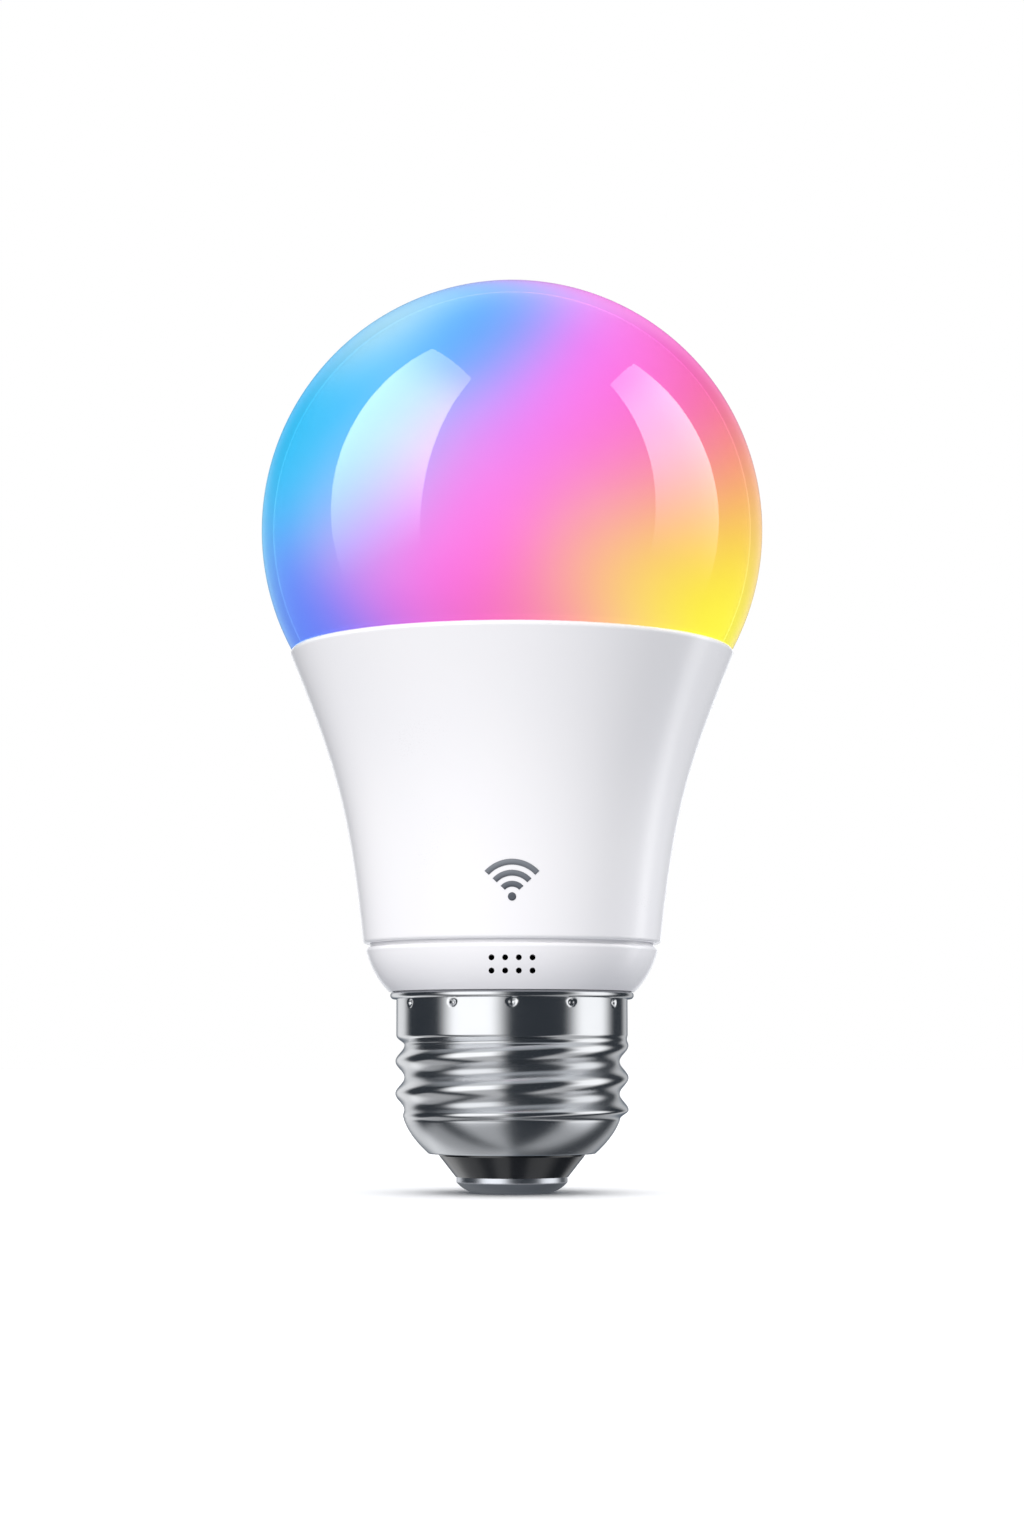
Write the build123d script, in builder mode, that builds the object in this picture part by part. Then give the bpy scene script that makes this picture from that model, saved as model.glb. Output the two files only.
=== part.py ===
"""Smart light bulb, A-shape with a medium Edison screw cap, in millimetres.

The bulb stands on the flat of its centre contact at z = 0, with its axis along +Z and the vent
holes of the collar facing -Y. Sizes are radii and heights about that axis. Every piece is its own
solid, and each STEP file is one node of the assembly.
"""

import os
from math import cos, pi, radians, sin, sqrt

from build123d import *

# ---------------------------------------------------------------- driving dimensions
# Centre contact and the insulator round it
contact_flat_radius = 4.0
contact_radius = 6.25
contact_height = 1.8
contact_rim_height = 0.6
contact_stem_radius = 1.5
contact_stem_height = 6.3
insulator_height = 2.6
insulator_top_radius = 8.2
insulator_collar_height = 2.6

# Screw shell: medium Edison thread, seven turns to the inch
shell_wall = 0.4
thread_pitch = 25.4 / 7
thread_major_radius = 13.15
thread_minor_radius = 12.15
thread_height = 9.6
thread_fade = 1.15
thread_steps_per_turn = 16
thread_crest_angle = 244.0
cone_height = 3.7
cone_lip_radius = 9.4
skirt_radius = 13.07
skirt_height = 4.0
rim_bead_radius = 0.42
rim_overhang = 0.7
stake_count = 12
stake_radius = 0.6
stake_drop = 1.35

# Collar between the cap and the housing
collar_height = 5.0
collar_bottom_radius = 13.95
collar_top_radius = 16.6
collar_bulge = 0.3
collar_edge_radius = 0.35
neck_bore_radius = 10.0
chamber_radius = 12.2
spigot_height = 4.0
spigot_wall = 1.3
vent_radius = 0.32
vent_columns = 4
vent_rows = 2
vent_column_pitch = 1.48
vent_row_pitch = 1.4
vent_drop = 1.65

# Housing, a flared trumpet
seam_gap = 0.4
seam_land = 0.75
housing_height = 33.4
housing_bottom_radius = 16.85
housing_waist_radius = 19.55
housing_top_radius = 25.5
housing_wall = 1.5
housing_edge_radius = 0.4
housing_bottom_slope = 0.11
housing_top_slope = 0.41

# Globe: a milky diffuser with a clear layer over it
globe_bulge = 3.6
clear_layer_wall = 1.3
layer_gap = 0.1
diffuser_wall = 1.2
globe_neck_step = 3.0
globe_neck_height = 3.5
globe_neck_wall = 1.2
sealant_width = 0.6
sealant_height = 1.2
snap_bead_radius = 0.35

# Heat sink, light board and what is on it
deck_drop = 5.5
deck_thickness = 1.2
cup_wall = 1.0
cup_skirt_start = 5.2
thermal_pad_thickness = 0.3
led_board_thickness = 1.6
white_led_count = 18
white_led_length = 3.5
white_led_width = 2.8
white_led_height = 0.8
colour_led_count = 6
colour_led_side = 5.0
colour_led_height = 1.5
screw_count = 3
screw_radius = 1.25
screw_head_radius = 2.3
screw_head_height = 1.5
screw_length = 8.0

# Driver sleeve and driver board
sleeve_wall = 1.2
boss_radius = 2.4
rail_width = 2.0
rail_cheek = 1.0
driver_board_thickness = 1.6
driver_board_y = 1.0
driver_board_half_width = 11.2
tongue_half_width = 7.5
tongue_bottom_z = 12.0
shoulder_rise = 1.5
lead_radius = 0.3
solder_tail = 0.3
header_pitch = 2.0
header_pins = 6
pin_side = 0.5

# Parts on the driver board
can_lead_spread = 1.75
can_lead_drop = 1.0
bulk_radius = 4.0
bulk_height = 12.0
output_radius = 4.0
output_height = 9.4
choke_radius = 3.5
choke_height = 7.5
choke_flange = 1.2
choke_spool_radius = 2.3
fuse_length = 7.0
fuse_radius = 1.3
fuse_lead_reach = 4.6
varistor_radius = 3.5
varistor_thickness = 3.0
varistor_lead_spread = 2.5
varistor_lead_reach = 4.8
film_width = 10.0
film_depth = 4.4
film_height = 8.0
film_lead_spread = 3.75
film_lead_drop = 1.0
core_width = 13.0
core_height = 10.0
core_depth = 5.0
core_leg_width = 3.0
core_outer_leg_width = 1.5
core_yoke_height = 1.6
core_pin_spread = 3.0
core_pin_inset = 1.1
bobbin_wall = 0.5
bobbin_flange_thickness = 0.8
bobbin_flange_half_depth = 4.3

# Wireless module
module_width = 15.0
module_height = 20.5
module_thickness = 0.8
module_offset = 3.0
module_rise = 7.0

# Clearances
fit_gap = 0.1
slot_gap = 0.3
screw_gap = 0.15

# ---------------------------------------------------------------- levels along the axis
lip_z = contact_height + insulator_height
cone_top_z = lip_z + cone_height
thread_top_z = cone_top_z + thread_height
skirt_top_z = thread_top_z + skirt_height
collar_z = skirt_top_z + 2 * rim_bead_radius
collar_top_z = collar_z + collar_height
housing_z = collar_top_z + seam_gap
seam_z = housing_z + housing_height
deck_top_z = seam_z - deck_drop
deck_under_z = deck_top_z - deck_thickness
led_board_z = deck_top_z + thermal_pad_thickness
led_board_top_z = led_board_z + led_board_thickness
globe_seam_radius = housing_top_radius - housing_edge_radius
globe_radius = globe_seam_radius + globe_bulge
globe_centre_z = seam_z + sqrt(globe_radius**2 - globe_seam_radius**2)
diffuser_radius = globe_radius - clear_layer_wall - layer_gap
chamber_floor_z = collar_z + 1.4
chamber_top_z = collar_top_z - 0.4
neck_bottom_z = cone_top_z + 0.9

# Radii that follow from what a piece fits in
neck_radius = thread_minor_radius - shell_wall - fit_gap
spigot_radius = housing_bottom_radius - housing_wall - fit_gap
sleeve_radius = spigot_radius - spigot_wall - fit_gap
sleeve_bore_radius = sleeve_radius - sleeve_wall
globe_neck_radius = housing_top_radius - globe_neck_step
globe_neck_bore_radius = globe_neck_radius - globe_neck_wall
led_board_radius = globe_neck_bore_radius - slot_gap
white_led_ring_radius = led_board_radius - white_led_width / 2 - 1.8
boss_ring_radius = sleeve_radius - 0.85
colour_led_ring_radius = boss_ring_radius
snap_bead_z = seam_z - 1.4
board_front_y = driver_board_y - driver_board_thickness / 2
board_back_y = driver_board_y + driver_board_thickness / 2
shoulder_z = chamber_top_z + shoulder_rise
board_top_z = deck_under_z - 2.0
module_y = board_back_y + module_offset + module_thickness / 2
module_top_z = led_board_top_z + module_rise
module_bottom_z = module_top_z - module_height
header_y = board_front_y - pin_side / 2

os.makedirs("parts", exist_ok=True)


def save(piece, label):
    """Labels a finished piece and writes it as one node."""
    piece.part.label = label
    export_step(piece.part, f"parts/{label}.step")


def smooth_step(share):
    """0 below 0, 1 above 1, and an even S-curve between."""
    share = min(max(share, 0.0), 1.0)
    return share * share * (3 - 2 * share)


# ---------------------------------------------------------------- shared shapes
def add_thread_core(inset, mode=Mode.ADD):
    """The threaded length of the cap, drawn in by inset.

    A round thread's cross-section is a circle whose centre goes round the axis once a turn, so
    the body is a loft through circles. It fades into the skirt above and the cone below.
    """
    mean_radius = (thread_major_radius + thread_minor_radius) / 2
    depth = (thread_major_radius - thread_minor_radius) / 2
    steps = round(thread_height / thread_pitch * thread_steps_per_turn)
    sections = []
    for step in range(steps + 1):
        z = cone_top_z + thread_height * step / steps
        from_below = smooth_step((z - cone_top_z) / thread_fade)
        from_above = smooth_step((thread_top_z - z) / thread_fade)
        offset = depth * from_below * from_above
        radius = (
            mean_radius
            + (thread_minor_radius - mean_radius) * (1 - from_below)
            + (skirt_radius - mean_radius) * (1 - from_above)
        )
        angle = 2 * pi * (z - cone_top_z) / thread_pitch + radians(thread_crest_angle)
        with BuildSketch(Plane.XY.offset(z)) as section:
            with Locations((offset * cos(angle), offset * sin(angle))):
                Circle(radius - inset)
        sections.append(section.sketch)
    loft(sections, mode=mode)


def add_cone(inset, bottom_z, mode=Mode.ADD):
    """The rounded cone below the thread, drawn in by inset, down to bottom_z."""
    top_radius = thread_minor_radius - inset
    lip_radius = cone_lip_radius - inset
    with BuildSketch(Plane.XZ) as half:
        with BuildLine():
            side = ThreePointArc(
                (top_radius, cone_top_z),
                ((top_radius + lip_radius) / 2 + 0.35, (cone_top_z + bottom_z) / 2),
                (lip_radius, bottom_z),
            )
            Polyline(side @ 1, (0, bottom_z), (0, cone_top_z), side @ 0)
        make_face()
    revolve(half.sketch, axis=Axis.Z, mode=mode)


def add_tube(outer_radius, inner_radius, bottom_z, top_z, mode=Mode.ADD):
    """A plain ring about the axis between two levels. An inner radius of 0 makes a disc."""
    with BuildSketch(Plane.XY.offset(bottom_z)) as ring:
        Circle(outer_radius)
        if inner_radius > 0:
            Circle(inner_radius, mode=Mode.SUBTRACT)
    extrude(ring.sketch, amount=top_z - bottom_z, mode=mode)


def add_block(x_range, y_range, z_range, mode=Mode.ADD):
    """A box between the given limits."""
    with BuildSketch(Plane.XY.offset(z_range[0])) as base:
        with Locations((sum(x_range) / 2, sum(y_range) / 2)):
            Rectangle(x_range[1] - x_range[0], y_range[1] - y_range[0])
    extrude(base.sketch, amount=z_range[1] - z_range[0], mode=mode)


def add_lead(points, radius, bend):
    """A round wire along a bent line."""
    with BuildLine():
        route = FilletPolyline(*points, radius=bend)
    with BuildSketch(Plane(origin=route @ 0, z_dir=route % 0)) as section:
        Circle(radius)
    sweep(section.sketch, path=route)


def trumpet(inset, low_z, high_z):
    """A solid with the housing's flared outline, drawn in by inset, between two levels."""
    waist_z = (housing_z + seam_z) / 2
    with BuildPart() as body:
        with BuildSketch(Plane.XZ):
            with BuildLine():
                side = Spline(
                    (housing_bottom_radius - inset, housing_z),
                    (housing_waist_radius - inset, waist_z),
                    (housing_top_radius - inset, seam_z),
                    tangents=[(housing_bottom_slope, 1), (housing_top_slope, 1)],
                )
                Polyline(side @ 1, (0, seam_z), (0, housing_z), side @ 0)
            make_face()
        revolve(axis=Axis.Z)
        if low_z > housing_z:
            split(bisect_by=Plane.XY.offset(low_z), keep=Keep.TOP)
        if high_z < seam_z:
            split(bisect_by=Plane.XY.offset(high_z), keep=Keep.BOTTOM)
    return body.part


def ball_profile(radius, low_radius, low_z):
    """The right half outline of a ball that ends at (low_radius, low_z), from there to the top."""
    return ThreePointArc(
        (low_radius, low_z),
        (radius * cos(radians(20)), globe_centre_z + radius * sin(radians(20))),
        (0, globe_centre_z + radius),
    )


# ================================================================ screw cap
# ---------------------------------------------------------------- centre contact
with BuildPart() as centre_contact:
    with BuildSketch(Plane.XZ):
        with BuildLine():
            Polyline((0, contact_height), (0, 0), (contact_flat_radius, 0))
            dish = ThreePointArc(
                (contact_flat_radius, 0),
                (
                    contact_flat_radius + 0.58 * (contact_radius - contact_flat_radius),
                    0.34 * (contact_height - contact_rim_height),
                ),
                (contact_radius, contact_height - contact_rim_height),
            )
            Polyline(dish @ 1, (contact_radius, contact_height), (0, contact_height))
        make_face()
    revolve(axis=Axis.Z)
    add_tube(contact_stem_radius, 0, contact_height, contact_height + contact_stem_height)
    live_wire_radius = 0.55
    stem_hole_z = contact_height + 1.6
    add_tube(
        live_wire_radius + fit_gap,
        0,
        stem_hole_z,
        contact_height + contact_stem_height,
        mode=Mode.SUBTRACT,
    )
save(centre_contact, "centre_contact")

# ---------------------------------------------------------------- insulator
# Its collar is moulded inside the cone of the shell, above the lip that holds it.
insulator_collar_z = lip_z + shell_wall + fit_gap
insulator_collar_top_z = insulator_collar_z + insulator_collar_height
collar_limit_z = cone_top_z - 0.6
with BuildPart() as insulator_collar_shape:
    add_cone(shell_wall + fit_gap, lip_z + shell_wall)
    split(bisect_by=Plane.XY.offset(insulator_collar_z), keep=Keep.TOP)
    split(
        bisect_by=Plane.XY.offset(min(insulator_collar_top_z, collar_limit_z)),
        keep=Keep.BOTTOM,
    )

insulator_foot_radius = contact_radius + 0.1
with BuildPart() as base_insulator:
    with BuildSketch(Plane.XZ):
        with BuildLine():
            Polyline(
                (0, contact_height),
                (insulator_foot_radius, contact_height),
                (insulator_top_radius, lip_z - 0.25),
                (insulator_top_radius, lip_z),
                (insulator_top_radius - fit_gap, lip_z),
                (insulator_top_radius - fit_gap, insulator_collar_z),
                (0, insulator_collar_z),
                close=True,
            )
        make_face()
    revolve(axis=Axis.Z)
    add(insulator_collar_shape.part)
    add_tube(
        contact_stem_radius + fit_gap / 2, 0, contact_height, cone_top_z, mode=Mode.SUBTRACT
    )
save(base_insulator, "base_insulator")

# ---------------------------------------------------------------- screw shell
stake_z = skirt_top_z + rim_bead_radius - stake_drop
bead_centre_z = skirt_top_z + rim_bead_radius
bead_ring_radius = skirt_radius + rim_overhang - rim_bead_radius
with BuildPart() as stake_bumps:
    with Locations((0, 0, stake_z)):
        with PolarLocations(skirt_radius + fit_gap, stake_count, start_angle=-90):
            Sphere(stake_radius + shell_wall)
    add_tube(
        skirt_radius - 0.05, 0, stake_z - 2, stake_z + 2, mode=Mode.INTERSECT
    )

with BuildPart() as shell_hollow:
    add_cone(shell_wall, lip_z + shell_wall)
    add_thread_core(shell_wall)
    add_tube(skirt_radius - shell_wall, 0, thread_top_z, collar_z)

with BuildPart() as screw_shell:
    add_cone(0, lip_z)
    add_thread_core(0)
    add_tube(skirt_radius, 0, thread_top_z, bead_centre_z + rim_bead_radius)
    add_tube(
        bead_ring_radius,
        0,
        bead_centre_z - rim_bead_radius,
        bead_centre_z + rim_bead_radius,
    )
    with Locations((0, 0, bead_centre_z)):
        Torus(bead_ring_radius, rim_bead_radius)
    add(shell_hollow.part, mode=Mode.SUBTRACT)
    add_tube(insulator_top_radius, 0, lip_z, lip_z + shell_wall, mode=Mode.SUBTRACT)
    # stakes punched through the skirt into the collar's neck
    add(stake_bumps.part)
    with Locations((0, 0, stake_z)):
        with PolarLocations(skirt_radius + fit_gap, stake_count, start_angle=-90):
            Sphere(stake_radius, mode=Mode.SUBTRACT)
save(screw_shell, "screw_shell")

# ================================================================ casing
# ---------------------------------------------------------------- base collar
with BuildPart() as base_collar:
    # the band that shows, with the neck's skirt part and the spigot in one outline
    with BuildSketch(Plane.XZ):
        with BuildLine():
            band = ThreePointArc(
                (collar_bottom_radius, collar_z),
                (
                    (collar_bottom_radius + collar_top_radius) / 2 + collar_bulge,
                    (collar_z + collar_top_z) / 2 - collar_bulge,
                ),
                (collar_top_radius, collar_top_z),
            )
            Polyline(
                band @ 1,
                (housing_bottom_radius - seam_land, collar_top_z),
                (housing_bottom_radius - seam_land, housing_z),
                (spigot_radius, housing_z),
                (spigot_radius, housing_z + spigot_height),
                (0, housing_z + spigot_height),
                (0, collar_z),
                band @ 0,
            )
        make_face()
    revolve(axis=Axis.Z)
    visible_edges = edges().filter_by(GeomType.CIRCLE).sort_by(SortBy.RADIUS)
    fillet(visible_edges[-1], collar_edge_radius)
    with Locations((0, 0, housing_z + spigot_height / 2)):
        Torus(spigot_radius, snap_bead_radius)
    # the neck: a close fit in the shell's skirt, and clear of its thread below
    add_tube(skirt_radius - shell_wall - fit_gap, 0, thread_top_z, collar_z)
    add_tube(neck_radius, 0, neck_bottom_z, thread_top_z)
    with Locations((0, 0, stake_z)):
        with PolarLocations(skirt_radius + fit_gap, stake_count, start_angle=-90):
            Sphere(stake_radius + shell_wall + fit_gap, mode=Mode.SUBTRACT)
    # bores for the driver
    add_tube(neck_bore_radius, 0, neck_bottom_z, chamber_floor_z, mode=Mode.SUBTRACT)
    add_tube(chamber_radius, 0, chamber_floor_z, chamber_top_z, mode=Mode.SUBTRACT)
    add_tube(
        sleeve_radius + fit_gap,
        0,
        chamber_top_z,
        housing_z + spigot_height,
        mode=Mode.SUBTRACT,
    )
    # vent holes at the front, in rows below the seam
    vent_plane = Plane(
        origin=(0, -collar_top_radius - 1, collar_top_z - vent_drop),
        x_dir=(1, 0, 0),
        z_dir=(0, -1, 0),
    )
    with BuildSketch(vent_plane):
        with Locations((0, -vent_row_pitch * (vent_rows - 1) / 2)):
            with GridLocations(vent_column_pitch, vent_row_pitch, vent_columns, vent_rows):
                Circle(vent_radius)
    extrude(amount=-collar_top_radius, mode=Mode.SUBTRACT)
save(base_collar, "base_collar")

# ---------------------------------------------------------------- housing shell
globe_bore_z = seam_z - globe_neck_height - fit_gap
housing_outside = trumpet(0, housing_z, seam_z)
housing_inside = trumpet(housing_wall, housing_z, seam_z)
with BuildPart() as housing_bore:
    add(housing_inside)
    split(bisect_by=Plane.XY.offset(globe_bore_z), keep=Keep.BOTTOM)
    add_tube(globe_neck_radius + fit_gap, 0, globe_bore_z, seam_z)

with BuildPart() as housing_shell:
    add(housing_outside)
    outer_edges = edges().filter_by(GeomType.CIRCLE).sort_by(Axis.Z)
    fillet([outer_edges[0], outer_edges[-1]], housing_edge_radius)
    add(housing_bore.part, mode=Mode.SUBTRACT)
    with Locations((0, 0, snap_bead_z)):
        Torus(globe_neck_radius, snap_bead_radius + fit_gap, mode=Mode.SUBTRACT)
    with Locations((0, 0, housing_z + spigot_height / 2)):
        Torus(spigot_radius, snap_bead_radius + fit_gap, mode=Mode.SUBTRACT)
save(housing_shell, "housing_shell")

# ---------------------------------------------------------------- globe
clear_inner_radius = globe_radius - clear_layer_wall
sphere_drop = globe_centre_z - seam_z
with BuildPart() as globe_clear_layer:
    with BuildSketch(Plane.XZ):
        with BuildLine():
            outside = ball_profile(globe_radius, globe_seam_radius, seam_z)
            inside = ball_profile(
                clear_inner_radius, sqrt(clear_inner_radius**2 - sphere_drop**2), seam_z
            )
            Line(outside @ 0, inside @ 0)
            Line(outside @ 1, inside @ 1)
        make_face()
    revolve(axis=Axis.Z)
save(globe_clear_layer, "globe_clear_layer")

diffuser_inner_radius = diffuser_radius - diffuser_wall
neck_join_z = globe_centre_z - sqrt(diffuser_inner_radius**2 - globe_neck_bore_radius**2)
neck_end_z = seam_z - globe_neck_height
neck_step_radius = globe_neck_radius - sealant_width
with BuildPart() as globe_diffuser:
    with BuildSketch(Plane.XZ):
        with BuildLine():
            outside = ball_profile(
                diffuser_radius, sqrt(diffuser_radius**2 - sphere_drop**2), seam_z
            )
            inside = ball_profile(diffuser_inner_radius, globe_neck_bore_radius, neck_join_z)
            Line(outside @ 1, inside @ 1)
            Polyline(
                outside @ 0,
                (globe_neck_radius, seam_z),
                (globe_neck_radius, neck_end_z + sealant_height),
                (neck_step_radius, neck_end_z + sealant_height),
                (neck_step_radius, neck_end_z),
                (globe_neck_bore_radius, neck_end_z),
                inside @ 0,
            )
        make_face()
    revolve(axis=Axis.Z)
    with Locations((0, 0, snap_bead_z)):
        Torus(globe_neck_radius, snap_bead_radius)
    add_tube(
        globe_neck_bore_radius, 0, neck_end_z, neck_join_z, mode=Mode.SUBTRACT
    )
save(globe_diffuser, "globe_diffuser")

# A bead of silicone fills the step between the globe's neck and the housing.
with BuildPart() as globe_sealant:
    add_tube(
        globe_neck_radius + fit_gap / 2,
        neck_step_radius + fit_gap / 2,
        neck_end_z,
        neck_end_z + sealant_height - fit_gap / 2,
    )
    top_edges = edges().group_by(Axis.Z)[-1]
    fillet(top_edges, sealant_width / 3)
save(globe_sealant, "globe_sealant")

# ================================================================ light engine
screw_spots = PolarLocations(boss_ring_radius, screw_count, start_angle=90)
pin_slot_half_length = header_pitch * header_pins / 2 + slot_gap
pin_slot_half_width = pin_side / 2 + slot_gap
module_slot_half_length = module_width / 2 + slot_gap
module_slot_half_width = module_thickness / 2 + slot_gap


def cut_deck_openings(bottom_z, top_z, hole_radius):
    """The openings that the deck, the pad and the light board share."""
    with BuildSketch(Plane.XY.offset(bottom_z)) as openings:
        with Locations((0, header_y)):
            Rectangle(2 * pin_slot_half_length, 2 * pin_slot_half_width)
        with Locations((0, module_y)):
            Rectangle(2 * module_slot_half_length, 2 * module_slot_half_width)
        with Locations(*screw_spots):
            Circle(hole_radius)
    extrude(openings.sketch, amount=top_z - bottom_z, mode=Mode.SUBTRACT)


# ---------------------------------------------------------------- heat sink cup
cup_low_z = housing_z + cup_skirt_start
cup_inset = housing_wall + fit_gap
cup_outside = trumpet(cup_inset, cup_low_z, deck_top_z)
cup_inside = trumpet(cup_inset + cup_wall, cup_low_z, deck_under_z)
with BuildPart() as heat_sink_cup:
    add(cup_outside)
    add(cup_inside, mode=Mode.SUBTRACT)
    cut_deck_openings(deck_under_z, deck_top_z, screw_radius + screw_gap)
save(heat_sink_cup, "heat_sink_cup")

# ---------------------------------------------------------------- thermal pad
thermal_pad_radius = led_board_radius - 1.0
with BuildPart() as thermal_pad:
    add_tube(thermal_pad_radius, 0, deck_top_z, led_board_z)
    cut_deck_openings(deck_top_z, led_board_z, screw_radius + 2 * screw_gap)
save(thermal_pad, "thermal_pad")

# ---------------------------------------------------------------- light board
with BuildPart() as led_board:
    add_tube(led_board_radius, 0, led_board_z, led_board_top_z)
    cut_deck_openings(led_board_z, led_board_top_z, screw_radius + screw_gap)
save(led_board, "led_board")


def draw_window(length, width, window):
    """A round window of the given radius, or, below 0, one drawn in that far from the edges."""
    if window > 0:
        Circle(window)
    else:
        RectangleRounded(width + 2 * window, length + 2 * window, -window / 2)


def light_packages(ring_radius, count, start_angle, length, width, height, window):
    """Light packages round a ring: a ceramic body with a dished window that holds its phosphor."""
    with BuildPart() as packages:
        spots = PolarLocations(ring_radius, count, start_angle=start_angle)
        with BuildSketch(Plane.XY.offset(led_board_top_z)):
            with Locations(*spots):
                Rectangle(width, length)
        extrude(amount=height)
        with BuildSketch(Plane.XY.offset(led_board_top_z + height)):
            with Locations(*spots):
                draw_window(length, width, window)
        extrude(amount=-height / 2, mode=Mode.SUBTRACT)
    with BuildPart() as windows:
        with BuildSketch(Plane.XY.offset(led_board_top_z + height / 2)):
            with Locations(*spots):
                draw_window(length, width, window)
        extrude(amount=height / 2 - 0.08)
    return packages, windows


# Cool and warm whites take turns round the rim, and the colour packages sit between the screws.
white_step = 360 / white_led_count
cool_packages, cool_phosphor = light_packages(
    white_led_ring_radius, white_led_count // 2, 0,
    white_led_length, white_led_width, white_led_height, -0.45,
)
warm_packages, warm_phosphor = light_packages(
    white_led_ring_radius, white_led_count // 2, white_step,
    white_led_length, white_led_width, white_led_height, -0.45,
)
colour_packages, colour_windows = light_packages(
    colour_led_ring_radius, colour_led_count, 0,
    colour_led_side, colour_led_side, colour_led_height, 1.9,
)
save(cool_packages, "cool_white_leds")
save(cool_phosphor, "cool_white_phosphor")
save(warm_packages, "warm_white_leds")
save(warm_phosphor, "warm_white_phosphor")
save(colour_packages, "colour_leds")
save(colour_windows, "colour_led_windows")

# ---------------------------------------------------------------- board screws
with BuildPart() as board_screws:
    with BuildSketch(Plane.XY.offset(led_board_top_z - screw_length + screw_head_height)):
        with Locations(*screw_spots):
            Circle(screw_radius)
    extrude(amount=screw_length - screw_head_height)
    with BuildSketch(Plane.XY.offset(led_board_top_z)):
        with Locations(*screw_spots):
            Circle(screw_head_radius)
    extrude(amount=screw_head_height)
    head_tops = faces().group_by(Axis.Z)[-1].edges()
    fillet(head_tops, screw_head_height / 2)
    for turn in (0, 90):
        with BuildSketch(Plane.XY.offset(led_board_top_z + screw_head_height)):
            with Locations(*screw_spots):
                Rectangle(2.6, 0.5, rotation=turn)
        extrude(amount=-screw_head_height / 2, mode=Mode.SUBTRACT)
save(board_screws, "board_screws")

# ================================================================ driver
# ---------------------------------------------------------------- driver sleeve
sleeve_top_z = deck_under_z
boss_height = screw_length
rail_half_thickness = driver_board_thickness / 2 + fit_gap
rail_outer_y = (
    driver_board_y - rail_half_thickness - rail_cheek,
    driver_board_y + rail_half_thickness + rail_cheek,
)
rail_inner_x = driver_board_half_width + fit_gap - rail_width / 2
rail_top_z = board_top_z - 2.0
with BuildPart() as boss_columns:
    with BuildSketch(Plane.XY.offset(sleeve_top_z - boss_height)):
        with Locations(*screw_spots):
            Circle(boss_radius)
    extrude(amount=boss_height)

with BuildPart() as sleeve_rails:
    for side in (-1, 1):
        x_limits = sorted((side * rail_inner_x, side * (sleeve_radius - sleeve_wall / 2)))
        add_block(x_limits, rail_outer_y, (chamber_top_z, rail_top_z))
    add_tube(
        sleeve_radius - sleeve_wall / 2, 0, chamber_top_z, rail_top_z, mode=Mode.INTERSECT
    )
    add_block(
        (-driver_board_half_width - fit_gap, driver_board_half_width + fit_gap),
        (driver_board_y - rail_half_thickness, driver_board_y + rail_half_thickness),
        (shoulder_z, rail_top_z),
        mode=Mode.SUBTRACT,
    )

with BuildPart() as driver_sleeve:
    add_tube(sleeve_radius, sleeve_bore_radius, chamber_top_z, sleeve_top_z)
    add(sleeve_rails.part)
    add(boss_columns.part)
    with BuildSketch(Plane.XY.offset(sleeve_top_z)):
        with Locations(*screw_spots):
            Circle(screw_radius + fit_gap / 2)
    extrude(amount=-screw_length + screw_head_height, mode=Mode.SUBTRACT)
save(driver_sleeve, "driver_sleeve")

# ---------------------------------------------------------------- places of the driver's parts
# Each row is (x, z) of a lead on the board. Parts low on the board are placed from its tongue,
# and parts high on it from its top edge.
bulk_z = tongue_bottom_z + 3.2
output_x = -4.4
output_z = board_top_z - 11.3
choke_x = 4.6
choke_z = board_top_z - 9.4
can_y = board_front_y - solder_tail - 0.2
fuse_x = -3.6
fuse_z = tongue_bottom_z + 8.4
varistor_x = 3.4
varistor_z = tongue_bottom_z + 8.2
film_x = -4.5
film_z = shoulder_z + 2.2
core_z = shoulder_z + 1.2
core_y = board_front_y - 0.5 - bobbin_flange_half_depth
core_pin_zs = (core_z + core_pin_inset, core_z + core_height - core_pin_inset)
lead_holes = (
    [(side * can_lead_spread, bulk_z - can_lead_drop) for side in (-1, 1)]
    + [(output_x + side * can_lead_spread, output_z - can_lead_drop) for side in (-1, 1)]
    + [(choke_x + side * can_lead_spread, choke_z - can_lead_drop) for side in (-1, 1)]
    + [(fuse_x, fuse_z + side * fuse_lead_reach) for side in (-1, 1)]
    + [
        (varistor_x + side * varistor_lead_spread, varistor_z - varistor_lead_reach)
        for side in (-1, 1)
    ]
    + [(film_x + side * film_lead_spread, film_z - film_lead_drop) for side in (-1, 1)]
    + [(side * core_pin_spread, z) for side in (-1, 1) for z in core_pin_zs]
)
module_pin_z = module_bottom_z + 1.0
module_pin_count = 6
module_pin_xs = [header_pitch * (i - (module_pin_count - 1) / 2) for i in range(module_pin_count)]

# ---------------------------------------------------------------- driver board
with BuildPart() as driver_board:
    board_plane = Plane(origin=(0, board_back_y, 0), x_dir=(1, 0, 0), z_dir=(0, -1, 0))
    with BuildSketch(board_plane):
        with BuildLine():
            Polyline(
                (-tongue_half_width, tongue_bottom_z),
                (tongue_half_width, tongue_bottom_z),
                (tongue_half_width, shoulder_z),
                (driver_board_half_width, shoulder_z),
                (driver_board_half_width, board_top_z),
                (-driver_board_half_width, board_top_z),
                (-driver_board_half_width, shoulder_z),
                (-tongue_half_width, shoulder_z),
                close=True,
            )
        make_face()
        with Locations(*lead_holes):
            Circle(lead_radius + fit_gap, mode=Mode.SUBTRACT)
        with Locations(*[(x, module_pin_z) for x in module_pin_xs]):
            Circle(pin_side * 0.8, mode=Mode.SUBTRACT)
    extrude(amount=driver_board_thickness)
save(driver_board, "driver_board")


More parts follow.
